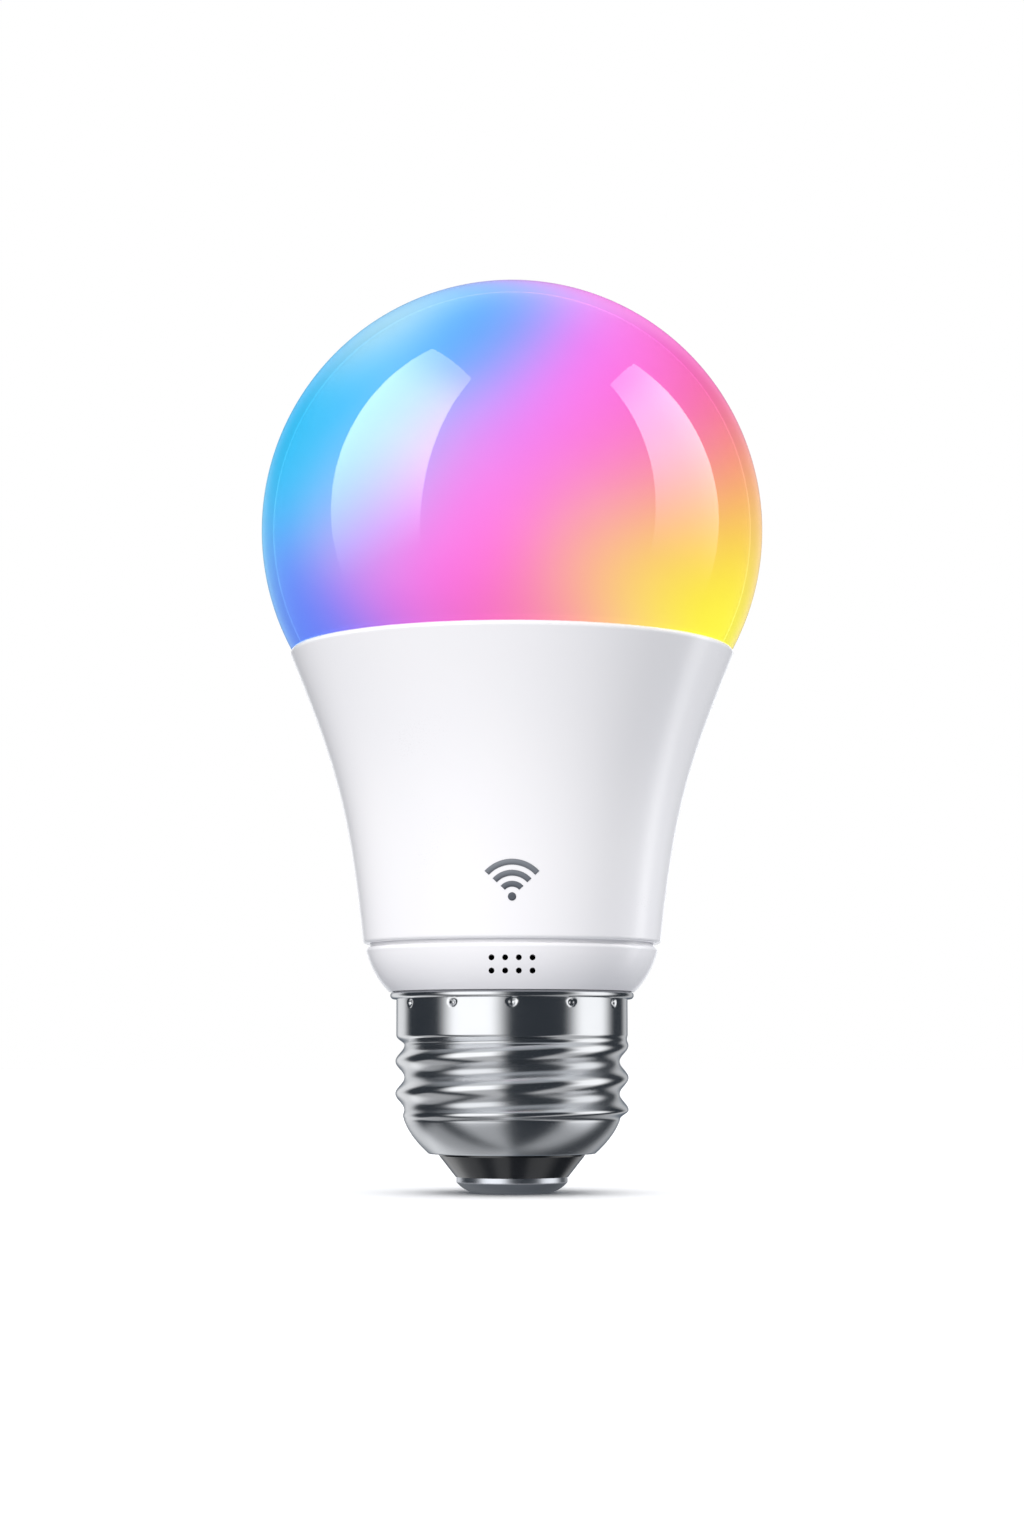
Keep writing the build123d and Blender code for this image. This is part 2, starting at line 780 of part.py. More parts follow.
def add_can_leads(x, y, bottom_z):
    """Two leads of a standing can that bend back through the board."""
    for side in (-1, 1):
        lead_x = x + side * can_lead_spread
        add_lead(
            [
                (lead_x, y, bottom_z + 0.2),
                (lead_x, y, bottom_z - can_lead_drop),
                (lead_x, board_back_y + solder_tail, bottom_z - can_lead_drop),
            ],
            lead_radius,
            0.6,
        )


def electrolytic(x, radius, height, bottom_z):
    """A can capacitor: a rolled groove near the foot, a rounded top and its two leads."""
    y = can_y - radius
    with BuildPart() as can:
        with BuildSketch(Plane.XY.offset(bottom_z)):
            with Locations((x, y)):
                Circle(radius)
        extrude(amount=height)
        fillet(edges().group_by(Axis.Z)[-1], 0.4)
        with Locations((x, y, bottom_z + 1.6)):
            Torus(radius + 0.1, 0.45, mode=Mode.SUBTRACT)
        add_can_leads(x, y, bottom_z)
    return can


save(electrolytic(0, bulk_radius, bulk_height, bulk_z), "bulk_capacitor")
save(electrolytic(output_x, output_radius, output_height, output_z), "output_capacitor")

# ---------------------------------------------------------------- choke
choke_y = can_y - choke_radius
with BuildPart() as choke_core:
    with BuildSketch(Plane.XY.offset(choke_z)):
        with Locations((choke_x, choke_y)):
            Circle(choke_radius)
    extrude(amount=choke_height)
    add_can_leads(choke_x, choke_y, choke_z)
    with BuildSketch(Plane.XY.offset(choke_z + choke_flange)):
        with Locations((choke_x, choke_y)):
            Circle(choke_radius + 0.1)
            Circle(choke_spool_radius, mode=Mode.SUBTRACT)
    extrude(amount=choke_height - 2 * choke_flange, mode=Mode.SUBTRACT)
save(choke_core, "choke_core")

with BuildPart() as choke_winding:
    with BuildSketch(Plane.XY.offset(choke_z + choke_flange)):
        with Locations((choke_x, choke_y)):
            Circle(choke_radius - 0.2)
            Circle(choke_spool_radius, mode=Mode.SUBTRACT)
    extrude(amount=choke_height - 2 * choke_flange)
save(choke_winding, "choke_winding")

# ---------------------------------------------------------------- transformer
core_mid_z = core_z + core_height / 2
bobbin_half_x = core_leg_width / 2 + fit_gap + bobbin_wall
bobbin_half_y = core_depth / 2 + fit_gap + bobbin_wall
window_half_x = core_width / 2 - core_outer_leg_width
flange_half_x = window_half_x - fit_gap
flange_low_z = core_z + core_yoke_height + fit_gap / 2
flange_high_z = core_z + core_height - core_yoke_height - fit_gap / 2
core_y_range = (core_y - core_depth / 2, core_y + core_depth / 2)
with BuildPart() as transformer_core:
    for low, high in ((core_z, core_mid_z), (core_mid_z, core_z + core_height)):
        if low == core_z:
            yoke = (low, low + core_yoke_height)
        else:
            yoke = (high - core_yoke_height, high)
        add_block((-core_width / 2, core_width / 2), core_y_range, yoke)
        add_block((-core_leg_width / 2, core_leg_width / 2), core_y_range, (low, high))
        for side in (-1, 1):
            leg = sorted((side * window_half_x, side * core_width / 2))
            add_block(leg, core_y_range, (low, high))
save(transformer_core, "transformer_core")

with BuildPart() as transformer_bobbin:
    add_block(
        (-bobbin_half_x, bobbin_half_x),
        (core_y - bobbin_half_y, core_y + bobbin_half_y),
        (flange_low_z, flange_high_z),
    )
    for low in (flange_low_z, flange_high_z - bobbin_flange_thickness):
        add_block(
            (-flange_half_x, flange_half_x),
            (core_y - bobbin_flange_half_depth, core_y + bobbin_flange_half_depth),
            (low, low + bobbin_flange_thickness),
        )
    add_block(
        (-core_leg_width / 2 - fit_gap, core_leg_width / 2 + fit_gap),
        (core_y_range[0] - fit_gap, core_y_range[1] + fit_gap),
        (core_z, core_z + core_height),
        mode=Mode.SUBTRACT,
    )
save(transformer_bobbin, "transformer_bobbin")

with BuildPart() as transformer_winding:
    with BuildSketch(Plane.XY.offset(flange_low_z + bobbin_flange_thickness)):
        with Locations((0, core_y)):
            RectangleRounded(2 * flange_half_x - 0.4, 2 * bobbin_flange_half_depth - 0.4, 3.0)
            Rectangle(2 * bobbin_half_x, 2 * bobbin_half_y, mode=Mode.SUBTRACT)
    extrude(amount=flange_high_z - flange_low_z - 2 * bobbin_flange_thickness)
save(transformer_winding, "transformer_winding")

with BuildPart() as transformer_pins:
    for side in (-1, 1):
        for z in core_pin_zs:
            pin_start = Plane(
                origin=(side * core_pin_spread, core_y + core_depth / 2, z), z_dir=(0, 1, 0)
            )
            with BuildSketch(pin_start):
                Circle(lead_radius)
            extrude(amount=board_back_y + solder_tail - core_y - core_depth / 2)
save(transformer_pins, "transformer_pins")

# ---------------------------------------------------------------- fuse resistor and varistor
fuse_y = board_back_y + 0.4 + fuse_radius
with BuildPart() as fuse_resistor:
    with BuildSketch(Plane.XY.offset(fuse_z - fuse_length / 2)):
        with Locations((fuse_x, fuse_y)):
            Circle(fuse_radius)
    extrude(amount=fuse_length)
    fillet(edges().filter_by(GeomType.CIRCLE), 0.5)
    for side in (-1, 1):
        add_lead(
            [
                (fuse_x, fuse_y, fuse_z + side * (fuse_length / 2 - 0.2)),
                (fuse_x, fuse_y, fuse_z + side * fuse_lead_reach),
                (fuse_x, board_front_y - solder_tail, fuse_z + side * fuse_lead_reach),
            ],
            lead_radius,
            0.6,
        )
save(fuse_resistor, "fuse_resistor")

varistor_y = board_back_y + 0.5 + varistor_thickness / 2
with BuildPart() as varistor:
    disc_plane = Plane(
        origin=(varistor_x, varistor_y - varistor_thickness / 2, varistor_z), z_dir=(0, 1, 0)
    )
    with BuildSketch(disc_plane):
        Circle(varistor_radius)
    extrude(amount=varistor_thickness)
    fillet(edges().filter_by(GeomType.CIRCLE), 1.2)
    for side in (-1, 1):
        lead_x = varistor_x + side * varistor_lead_spread
        add_lead(
            [
                (lead_x, varistor_y, varistor_z - 1.0),
                (lead_x, varistor_y, varistor_z - varistor_lead_reach),
                (lead_x, board_front_y - solder_tail, varistor_z - varistor_lead_reach),
            ],
            lead_radius,
            0.8,
        )
save(varistor, "varistor")

# ---------------------------------------------------------------- film capacitor
film_y = board_back_y + solder_tail + fit_gap + film_depth / 2
with BuildPart() as film_capacitor:
    add_block(
        (film_x - film_width / 2, film_x + film_width / 2),
        (film_y - film_depth / 2, film_y + film_depth / 2),
        (film_z, film_z + film_height),
    )
    fillet(edges().filter_by(Axis.Z), 0.4)
    for side in (-1, 1):
        lead_x = film_x + side * film_lead_spread
        add_lead(
            [
                (lead_x, film_y, film_z + 0.2),
                (lead_x, film_y, film_z - film_lead_drop),
                (lead_x, board_front_y - solder_tail, film_z - film_lead_drop),
            ],
            lead_radius,
            0.7,
        )
save(film_capacitor, "film_capacitor")


# ---------------------------------------------------------------- chips on the board's back
def back_chip(x, z, width, height, thickness, leg_pitch, legs_a_side):
    """A moulded chip on the back of the board with gull-wing legs above and below it."""
    with BuildPart() as chip:
        add_block(
            (x - width / 2, x + width / 2),
            (board_back_y + 0.15, board_back_y + 0.15 + thickness),
            (z - height / 2, z + height / 2),
        )
        fillet(edges().filter_by(Axis.Z), 0.15)
        for end in (-1, 1):
            root_z = z + end * height / 2
            tip_z = root_z + end * 1.0
            for i in range(legs_a_side):
                leg_x = x + leg_pitch * (i - (legs_a_side - 1) / 2)
                knee = sorted((root_z - end * 0.1, root_z + end * 0.45))
                foot = sorted((root_z + end * 0.25, tip_z))
                add_block(
                    (leg_x - 0.2, leg_x + 0.2),
                    (board_back_y, board_back_y + thickness / 2 + 0.2),
                    (root_z + min(0, end * 0.45), root_z + max(0, end * 0.45)),
                )
                add_block(
                    (leg_x - 0.2, leg_x + 0.2), (board_back_y, board_back_y + 0.2), foot
                )
                add_block(
                    (leg_x - 0.2, leg_x + 0.2),
                    (board_back_y + thickness / 2, board_back_y + thickness / 2 + 0.2),
                    knee,
                )
    return chip


chip_x = 6.0
rectifier_z = shoulder_z + 3.6
controller_z = rectifier_z + 6.2
save(back_chip(chip_x, rectifier_z, 4.8, 3.9, 1.5, 2.5, 2), "bridge_rectifier")
save(back_chip(chip_x, controller_z, 4.9, 3.9, 1.4, 1.27, 4), "led_driver_chip")

# ---------------------------------------------------------------- small chip parts
chip_row_z = output_z - can_lead_drop + lead_radius + 1.4
with BuildPart() as chip_parts:
    for x, z in (
        (-9.0, chip_row_z),
        (-6.6, chip_row_z),
        (-4.2, chip_row_z),
        (-1.8, chip_row_z),
        (9.6, rectifier_z),
        (9.6, controller_z),
    ):
        add_block(
            (x - 0.6, x + 0.6), (board_back_y, board_back_y + 0.55), (z - 1.0, z + 1.0)
        )
save(chip_parts, "chip_resistors")

# ---------------------------------------------------------------- board-to-board header
strip_side = 2.2
strip_xs = [header_pitch * (i - (header_pins - 1) / 2) for i in range(header_pins)]
strip_half_length = header_pitch * header_pins / 2
socket_height = 3.4
pin_low_z = board_top_z - 1.6
pin_high_z = led_board_top_z + socket_height - 0.6


def cut_pin_holes(xs, y, gap, bottom_z, top_z):
    """Square holes for a row of upright pins."""
    with BuildSketch(Plane.XY.offset(bottom_z)) as holes:
        with Locations(*[(x, y) for x in xs]):
            Rectangle(pin_side + gap, pin_side + gap)
    extrude(holes.sketch, amount=top_z - bottom_z, mode=Mode.SUBTRACT)


with BuildPart() as header_pin_row:
    for x in strip_xs:
        add_block(
            (x - pin_side / 2, x + pin_side / 2),
            (header_y - pin_side / 2, header_y + pin_side / 2),
            (pin_low_z, pin_high_z),
        )
save(header_pin_row, "header_pins")

with BuildPart() as header_strip:
    add_block(
        (-strip_half_length, strip_half_length),
        (header_y - strip_side / 2, header_y + strip_side / 2),
        (board_top_z, board_top_z + 1.6),
    )
    cut_pin_holes(strip_xs, header_y, 0, board_top_z, board_top_z + 1.6)
save(header_strip, "header_strip")

with BuildPart() as led_board_socket:
    add_block(
        (-strip_half_length - 0.6, strip_half_length + 0.6),
        (header_y - 1.6, header_y + 1.6),
        (led_board_top_z, led_board_top_z + socket_height),
    )
    fillet(edges().filter_by(Axis.Z), 0.3)
    cut_pin_holes(
        strip_xs, header_y, fit_gap, led_board_top_z, led_board_top_z + socket_height
    )
save(led_board_socket, "led_board_socket")

# ---------------------------------------------------------------- wireless module
module_back_y = module_y + module_thickness / 2
module_front_y = module_y - module_thickness / 2
with BuildPart() as wireless_board:
    module_plane = Plane(origin=(0, module_back_y, 0), x_dir=(1, 0, 0), z_dir=(0, -1, 0))
    with BuildSketch(module_plane):
        with Locations((0, (module_bottom_z + module_top_z) / 2)):
            Rectangle(module_width, module_height)
        with Locations(*[(x, module_pin_z) for x in module_pin_xs]):
            Circle(pin_side * 0.8, mode=Mode.SUBTRACT)
    extrude(amount=module_thickness)
save(wireless_board, "wireless_board")

can_low_z = module_bottom_z + 2.4
can_high_z = deck_under_z - 0.6
can_depth = 2.2
with BuildPart() as shield_can:
    add_block(
        (-6.0, 6.0), (module_back_y, module_back_y + can_depth), (can_low_z, can_high_z)
    )
    fillet(edges().filter_by(Axis.Y), 0.5)
    outer_face = faces().sort_by(Axis.Y)[-1]
    fillet(outer_face.edges(), 0.35)
    add_block(
        (-5.8, 5.8),
        (module_back_y, module_back_y + can_depth - 0.2),
        (can_low_z + 0.2, can_high_z - 0.2),
        mode=Mode.SUBTRACT,
    )
save(shield_can, "wireless_shield_can")

# The antenna is a copper meander on the end of the module that stands above the light board.
antenna_line = 0.5
antenna_turns = 5
antenna_low_z = led_board_top_z + 2.2
antenna_high_z = module_top_z - 0.7
with BuildPart() as wireless_antenna:
    antenna_plane = Plane(origin=(0, module_back_y, 0), x_dir=(-1, 0, 0), z_dir=(0, 1, 0))
    with BuildSketch(antenna_plane):
        step = 1.15
        for i in range(2 * antenna_turns + 1):
            x = step * (i - antenna_turns)
            with Locations((x, (antenna_low_z + antenna_high_z) / 2)):
                Rectangle(antenna_line, antenna_high_z - antenna_low_z)
        for i in range(2 * antenna_turns):
            x = step * (i - antenna_turns + 0.5)
            z = antenna_high_z if i % 2 == 0 else antenna_low_z
            inward = -antenna_line / 2 if i % 2 == 0 else antenna_line / 2
            with Locations((x, z + inward)):
                Rectangle(step, antenna_line)
    extrude(amount=0.1)
save(wireless_antenna, "wireless_antenna")

with BuildPart() as module_pin_row:
    for x in module_pin_xs:
        add_block(
            (x - pin_side / 2, x + pin_side / 2),
            (board_front_y - solder_tail, module_back_y + solder_tail),
            (module_pin_z - pin_side / 2, module_pin_z + pin_side / 2),
        )
save(module_pin_row, "wireless_pins")

with BuildPart() as module_pin_strip:
    strip_half = header_pitch * module_pin_count / 2
    add_block(
        (-strip_half, strip_half),
        (board_back_y, module_front_y),
        (module_pin_z - 1.0, module_pin_z + 1.0),
    )
    for x in module_pin_xs:
        add_block(
            (x - pin_side / 2, x + pin_side / 2),
            (board_back_y, module_front_y),
            (module_pin_z - pin_side / 2, module_pin_z + pin_side / 2),
            mode=Mode.SUBTRACT,
        )
save(module_pin_strip, "wireless_pin_strip")

# ---------------------------------------------------------------- supply leads
wire_back_y = board_back_y + live_wire_radius
live_pad_x = 3.4
neutral_pad_x = -5.7
with BuildPart() as live_lead:
    add_lead(
        [
            (0, 0, stem_hole_z + 0.1),
            (0, 0, contact_height + contact_stem_height + 0.6),
            (live_pad_x, wire_back_y, tongue_bottom_z - 1.6),
            (live_pad_x, wire_back_y, tongue_bottom_z + 2.0),
        ],
        live_wire_radius,
        1.4,
    )
save(live_lead, "live_lead")

# The neutral lead leaves under the neck and is soldered to the inside of the shell.
neutral_z = (neck_bottom_z + collar_limit_z) / 2
neutral_solder_radius = 0.7
solder_radius = thread_minor_radius - shell_wall
neutral_reach = sqrt((solder_radius - 0.3) ** 2 - wire_back_y**2)
with BuildPart() as neutral_lead:
    add_lead(
        [
            (-neutral_reach, wire_back_y, neutral_z),
            (neutral_pad_x, wire_back_y, neutral_z),
            (neutral_pad_x, wire_back_y, tongue_bottom_z + 2.0),
        ],
        live_wire_radius,
        2.0,
    )
save(neutral_lead, "neutral_lead")

with BuildPart() as neutral_solder:
    with Locations((-neutral_reach, wire_back_y, neutral_z)):
        Sphere(neutral_solder_radius)
    add(shell_hollow.part, mode=Mode.INTERSECT)
    add(neutral_lead.part, mode=Mode.SUBTRACT)
save(neutral_solder, "neutral_solder")
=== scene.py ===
"""Looks, studio and camera for a colour-lit smart light bulb, in metres, in the model's frame."""

from math import asin, cos, hypot, pi, radians, sin, sqrt

import bmesh
import bpy
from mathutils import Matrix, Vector
from mathutils.bvhtree import BVHTree


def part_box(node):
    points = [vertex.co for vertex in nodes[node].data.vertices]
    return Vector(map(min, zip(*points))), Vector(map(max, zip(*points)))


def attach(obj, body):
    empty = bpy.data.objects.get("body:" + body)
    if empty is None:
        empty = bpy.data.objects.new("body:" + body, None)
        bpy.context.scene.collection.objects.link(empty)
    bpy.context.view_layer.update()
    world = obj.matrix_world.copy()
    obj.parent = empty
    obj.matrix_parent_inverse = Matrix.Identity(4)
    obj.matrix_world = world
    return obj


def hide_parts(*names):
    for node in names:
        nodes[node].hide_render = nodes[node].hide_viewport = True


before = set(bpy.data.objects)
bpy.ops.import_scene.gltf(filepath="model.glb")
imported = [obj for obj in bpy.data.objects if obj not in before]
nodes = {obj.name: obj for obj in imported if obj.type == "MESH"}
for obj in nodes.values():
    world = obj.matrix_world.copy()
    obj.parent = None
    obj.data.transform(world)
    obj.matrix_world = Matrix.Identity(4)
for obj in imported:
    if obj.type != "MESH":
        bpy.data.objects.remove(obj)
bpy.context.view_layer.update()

mm = 0.001

# ---------------------------------------------------------------- measures read from the frame
globe_low, globe_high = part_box("globe_clear_layer")
globe_radius = (globe_high.x - globe_low.x) / 2
globe_centre = Vector((0, 0, globe_high.z - globe_radius))
housing_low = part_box("housing_shell")[0]
collar_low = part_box("base_collar")[0]
cap_low, cap_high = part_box("screw_shell")
insulator_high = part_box("base_insulator")[1]
board_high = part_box("driver_board")[1]


# ---------------------------------------------------------------- shader maths
class Value:
    """A node's output socket that can be used in Python arithmetic."""

    def __init__(self, finish, socket):
        self.finish = finish
        self.socket = socket

    def maths(self, operation, *terms):
        return self.finish.node("Math", {"operation": operation}, dict(enumerate(terms)))

    def __add__(self, other):
        return self.maths("ADD", self, other)

    __radd__ = __add__

    def __sub__(self, other):
        return self.maths("SUBTRACT", self, other)

    def __rsub__(self, other):
        return self.maths("SUBTRACT", other, self)

    def __mul__(self, other):
        return self.maths("MULTIPLY", self, other)

    __rmul__ = __mul__

    def __truediv__(self, other):
        return self.maths("DIVIDE", self, other)

    def __rtruediv__(self, other):
        return self.maths("DIVIDE", other, self)

    def __pow__(self, other):
        return self.maths("POWER", self, other)

    def __neg__(self):
        return self.maths("MULTIPLY", self, -1.0)

    def at_most(self, other):
        return self.maths("MINIMUM", self, other)

    def above(self, other):
        return self.maths("GREATER_THAN", self, other)

    def wave(self):
        return self.maths("SINE", self)

    def size(self):
        return self.maths("ABSOLUTE", self)

    def part(self):
        return self.maths("FRACT", self)

    def ease(self, low, high):
        """0 at low, 1 at high and a soft step between, whichever of the two is larger."""
        settings = {"interpolation_type": "SMOOTHSTEP"}
        if low > high:
            return 1 - self.ease(high, low)
        return self.finish.node("MapRange", settings, {0: self, 1: low, 2: high, 3: 0.0, 4: 1.0})


class Finish:
    """One node tree, of a material or of the world, with a short way to add nodes to it."""

    def __init__(self, owner):
        owner.use_nodes = True
        self.owner = owner
        self.tree = owner.node_tree
        self.tree.nodes.clear()

    def node(self, kind, settings=None, inputs=None, output=0):
        """Adds a node, sets it up, feeds it and gives back the wanted output."""
        made = self.tree.nodes.new("ShaderNode" + kind)
        for name, setting in (settings or {}).items():
            setattr(made, name, setting)
        for name, value in (inputs or {}).items():
            self.feed(made.inputs[name], value)
        return Value(self, made.outputs[output]) if made.outputs else made

    def feed(self, socket, value):
        if isinstance(value, Value):
            self.tree.links.new(value.socket, socket)
        elif isinstance(value, (tuple, list, Vector)) and len(socket.default_value) == 4:
            socket.default_value = (*value, 1.0)
        else:
            socket.default_value = value

    def point(self):
        """Where a point of the surface is in the model's frame, in metres."""
        return self.node("TexCoord", output="Object")

    def axes(self, point=None):
        """The x, y and z of a point."""
        split = self.node("SeparateXYZ", inputs={0: point or self.point()})
        outs = split.socket.node.outputs
        return [Value(self, out) for out in outs]

    def round_axis(self):
        """How far a point is from the bulb's axis, its turn round the axis and its height."""
        x, y, z = self.axes()
        radius = (x * x + y * y) ** 0.5
        turn = self.node("Math", {"operation": "ARCTAN2"}, {0: y, 1: x})
        return radius, turn, z

    def vector(self, x, y, z):
        return self.node("CombineXYZ", inputs={0: x, 1: y, 2: z})

    def noise(self, scale, detail=3.0, roughness=0.5, point=None, distortion=0.0):
        """Cloudy noise from 0 to 1, with about scale clouds to the metre."""
        return self.node(
            "TexNoise",
            inputs={
                "Vector": point or self.point(),
                "Scale": scale,
                "Detail": detail,
                "Roughness": roughness,
                "Distortion": distortion,
            },
        )

    def mix(self, share, first, second):
        """A colour between two colours."""
        return self.node("Mix", {"data_type": "RGBA"}, {0: share, 6: first, 7: second}, output=2)

    def bump(self, height, depth, strength=1.0, under=None):
        """A surface tilted by a height between 0 and 1 that stands for depth metres."""
        inputs = {"Height": height, "Distance": depth, "Strength": strength}
        if under is not None:
            inputs["Normal"] = under
        return self.node("Bump", inputs=inputs)

    def surface(self, **sockets):
        """Ends a material in one Principled shader."""
        names = {name.replace("_", " ").title(): value for name, value in sockets.items()}
        if "Ior" in names:
            names["IOR"] = names.pop("Ior")
        shader = self.node("BsdfPrincipled", inputs=names)
        self.node("OutputMaterial", inputs={0: shader})
        return self.owner


def new_finish(name):
    return Finish(bpy.data.materials.new(name))


# ---------------------------------------------------------------- the light in the globe
# linear colours, where a part above 1 outshines the colours next to it
ice = (0.70, 0.85, 0.70)
sky = (0.00, 0.50, 0.80)
deep_sky = (0.00, 0.30, 0.80)
azure = (0.00, 0.55, 1.10)
turquoise = (0.00, 0.70, 1.05)
pale_blue = (0.30, 0.80, 1.00)
blue = (0.20, 0.40, 1.05)
indigo = (0.10, 0.20, 0.90)
orchid = (1.05, 0.15, 1.10)
pink = (1.10, 0.15, 0.80)
hot_pink = (1.20, 0.20, 0.85)
magenta = (1.00, 0.15, 0.70)
rose = (0.90, 0.10, 0.45)
coral = (1.15, 0.05, 0.60)
red = (0.80, 0.05, 0.00)
amber = (1.15, 0.85, 0.30)
yellow = (1.00, 1.10, 0.00)

# each lamp: degrees round from the front, degrees up, its colour and how tightly it gathers
globe_lamps = [
    (-10, 42, deep_sky, 55),
    (-22, -5, pink, 28),
    (-35, 6, turquoise, 46),
    (-46, 43, azure, 10),
    (-47, 47, ice, 60),
    (-55, 20, sky, 35),
    (-65, -41, indigo, 15),
    (-115, -7, pale_blue, 18),
    (-168, 20, blue, 11.5),
    (180, -24, magenta, 9),
    (130, 70, hot_pink, 15),
    (118, 28, coral, 15),
    (100, 0, amber, 25),
    (50, -20, yellow, 16),
    (46, 10, red, 15),
    (28, 22, orchid, 18),
    (7, -46, rose, 18),
]

# how strongly each face of the clear layer glows, and the milky shell under it
clear_layer_glow = 0.3
diffuser_glow = 0.32


def heading(azimuth, elevation):
    """The direction at so many degrees round from the front and up from level."""
    turn = radians(azimuth)
    rise = radians(elevation)
    return sin(turn) * cos(rise), -cos(turn) * cos(rise), sin(rise)


def glow_colour(f):
    """The light that reaches the globe's skin, with the lamps' colours blended into each other."""
    from_centre = f.node(
        "VectorMath", {"operation": "SUBTRACT"}, {0: f.point(), 1: tuple(globe_centre)}
    )
    outward = f.node("VectorMath", {"operation": "NORMALIZE"}, {0: from_centre})
    total = None
    for azimuth, elevation, lamp, gather in globe_lamps:
        towards = heading(azimuth, elevation)
        facing = f.node(
            "VectorMath", {"operation": "DOT_PRODUCT"}, {0: outward, 1: towards}, output=1
        )
        weight = (facing * 0.5 + 0.5) ** gather
        if total is None:
            total, colour = weight, lamp
        else:
            total = total + weight
            colour = f.mix(weight / total, colour, lamp)
    return colour


# ---------------------------------------------------------------- finishes that show
def milky_finish():
    f = new_finish("milky diffuser, lit")
    glow = glow_colour(f)
    cloud = f.noise(160.0, 4.0)
    grain = f.noise(9000.0, 2.0)
    tinted = f.mix(0.04 + cloud * 0.08, glow, (1.0, 0.97, 1.0))
    return f.surface(
        base_color=f.mix(0.85, tinted, (0.02, 0.02, 0.02)),
        roughness=0.30 + 0.06 * grain,
        normal=f.bump(grain, 0.01 * mm, 0.1),
        emission_color=tinted,
        emission_strength=diffuser_glow,
    )


def clear_finish():
    """Clear plastic that carries some of the glow, so that its rim is lit as well."""
    f = new_finish("clear globe layer")
    swirl = f.noise(45.0, 2.0)
    haze = f.noise(600.0, 3.0)
    return f.surface(
        base_color=f.mix(haze * 0.05, (1.0, 1.0, 1.0), (0.93, 0.97, 1.0)),
        roughness=0.004 + 0.008 * haze,
        ior=1.5,
        transmission_weight=1.0,
        normal=f.bump(swirl, 0.01 * mm, 0.05),
        emission_color=glow_colour(f),
        emission_strength=clear_layer_glow,
    )


def white_plastic_finish():
    f = new_finish("glossy white moulding")
    cloud = f.noise(90.0, 3.0)
    orange_peel = f.noise(1400.0, 2.0)
    pits = f.noise(7000.0, 2.0)
    z = f.axes()[2]
    # painted shade: a little greyer and bluer towards the foot of the housing, and more so on the
    # collar
    low = z.ease(housing_low.z + 9 * mm, housing_low.z)
    body = f.mix(cloud, (0.85, 0.846, 0.87), (0.875, 0.866, 0.88))
    body = f.mix(low * 0.25, body, (0.825, 0.82, 0.855))
    collar = z.ease(housing_low.z + 0.2 * mm, collar_low.z + 2 * mm)
    body = f.mix(collar * 0.6, body, (0.805, 0.805, 0.845))
    smooth = f.bump(orange_peel, 0.006 * mm, 0.35)
    return f.surface(
        base_color=body,
        roughness=0.24 + 0.06 * cloud + 0.04 * pits,
        coat_weight=0.35 + 0.1 * cloud,
        coat_roughness=0.12,
        normal=f.bump(pits, 0.003 * mm, 0.25, smooth),
    )


def nickel_finish():
    """Polished plate: rolled round the axis, satin on the cone, rougher and darkened by painted
    shade in the thread's roots.
    """
    f = new_finish("polished nickel plate")
    radius, turn, z = f.round_axis()
    rolled = f.noise(1.0, 4.0, 0.7, f.vector(turn * 6.0, radius * 900.0, z * 9000.0))
    blotch = f.noise(260.0, 4.0)
    grain = f.noise(16000.0, 2.0)
    satin_top = insulator_high.z + 0.6 * mm
    satin = z.ease(satin_top + 0.8 * mm, satin_top - 0.6 * mm)
    thread_root_shade = radius.ease(12.75 * mm, 12.2 * mm) * z.ease(satin_top, satin_top + 1.2 * mm)
    plate = f.mix(blotch, (0.64, 0.65, 0.67), (0.71, 0.72, 0.735))
    # painted shade: the plate is made darker in the thread's roots
    plate = f.mix(thread_root_shade * 0.35, plate, (0.42, 0.44, 0.47))
    plate = f.mix(satin * 0.5, plate, (0.42, 0.44, 0.47))
    return f.surface(
        base_color=plate,
        metallic=1.0,
        roughness=0.10 + 0.06 * rolled + 0.05 * blotch + 0.09 * satin + 0.08 * thread_root_shade,
        normal=f.bump(grain, 0.008 * mm, 0.10, f.bump(rolled, 0.004 * mm, 0.35)),
    )


def contact_finish():
    """Turned plate, bright on its edge, with painted shade making its underside dark and dull."""
    f = new_finish("satin contact plate")
    radius, turn, z = f.round_axis()
    rings = f.noise(1.0, 3.0, 0.6, f.vector(radius * 14000.0, 0.0, 0.0))
    blotch = f.noise(500.0, 4.0)
    grain = f.noise(15000.0, 2.0)
    underside_shade = z.ease(1.35 * mm, 1.1 * mm)
    plate = f.mix(blotch, (0.58, 0.61, 0.66), (0.68, 0.70, 0.74))
    # painted shade: the underside, facing the floor beside the contact, is made dark and less
    # metallic
    plate = f.mix(underside_shade * 0.95, plate, (0.075, 0.088, 0.105))
    return f.surface(
        base_color=plate,
        metallic=1.0 - underside_shade * 0.85,
        roughness=0.22 + 0.12 * rings + 0.2 * underside_shade,
        normal=f.bump(grain, 0.006 * mm, 0.35, f.bump(rings, 0.004 * mm, 0.3)),
    )


def insulator_finish():
    f = new_finish("black vitreous insulator")
    flow = f.noise(350.0, 4.0, 0.6, distortion=0.6)
    pits = f.noise(5200.0, 2.0)
    return f.surface(
        base_color=f.mix(flow, (0.006, 0.007, 0.009), (0.016, 0.017, 0.021)),
        roughness=0.12 + 0.14 * flow + 0.05 * pits,
        coat_weight=0.4,
        coat_roughness=0.08,
        normal=f.bump(pits, 0.006 * mm, 0.3, f.bump(flow, 0.03 * mm, 0.25)),
    )


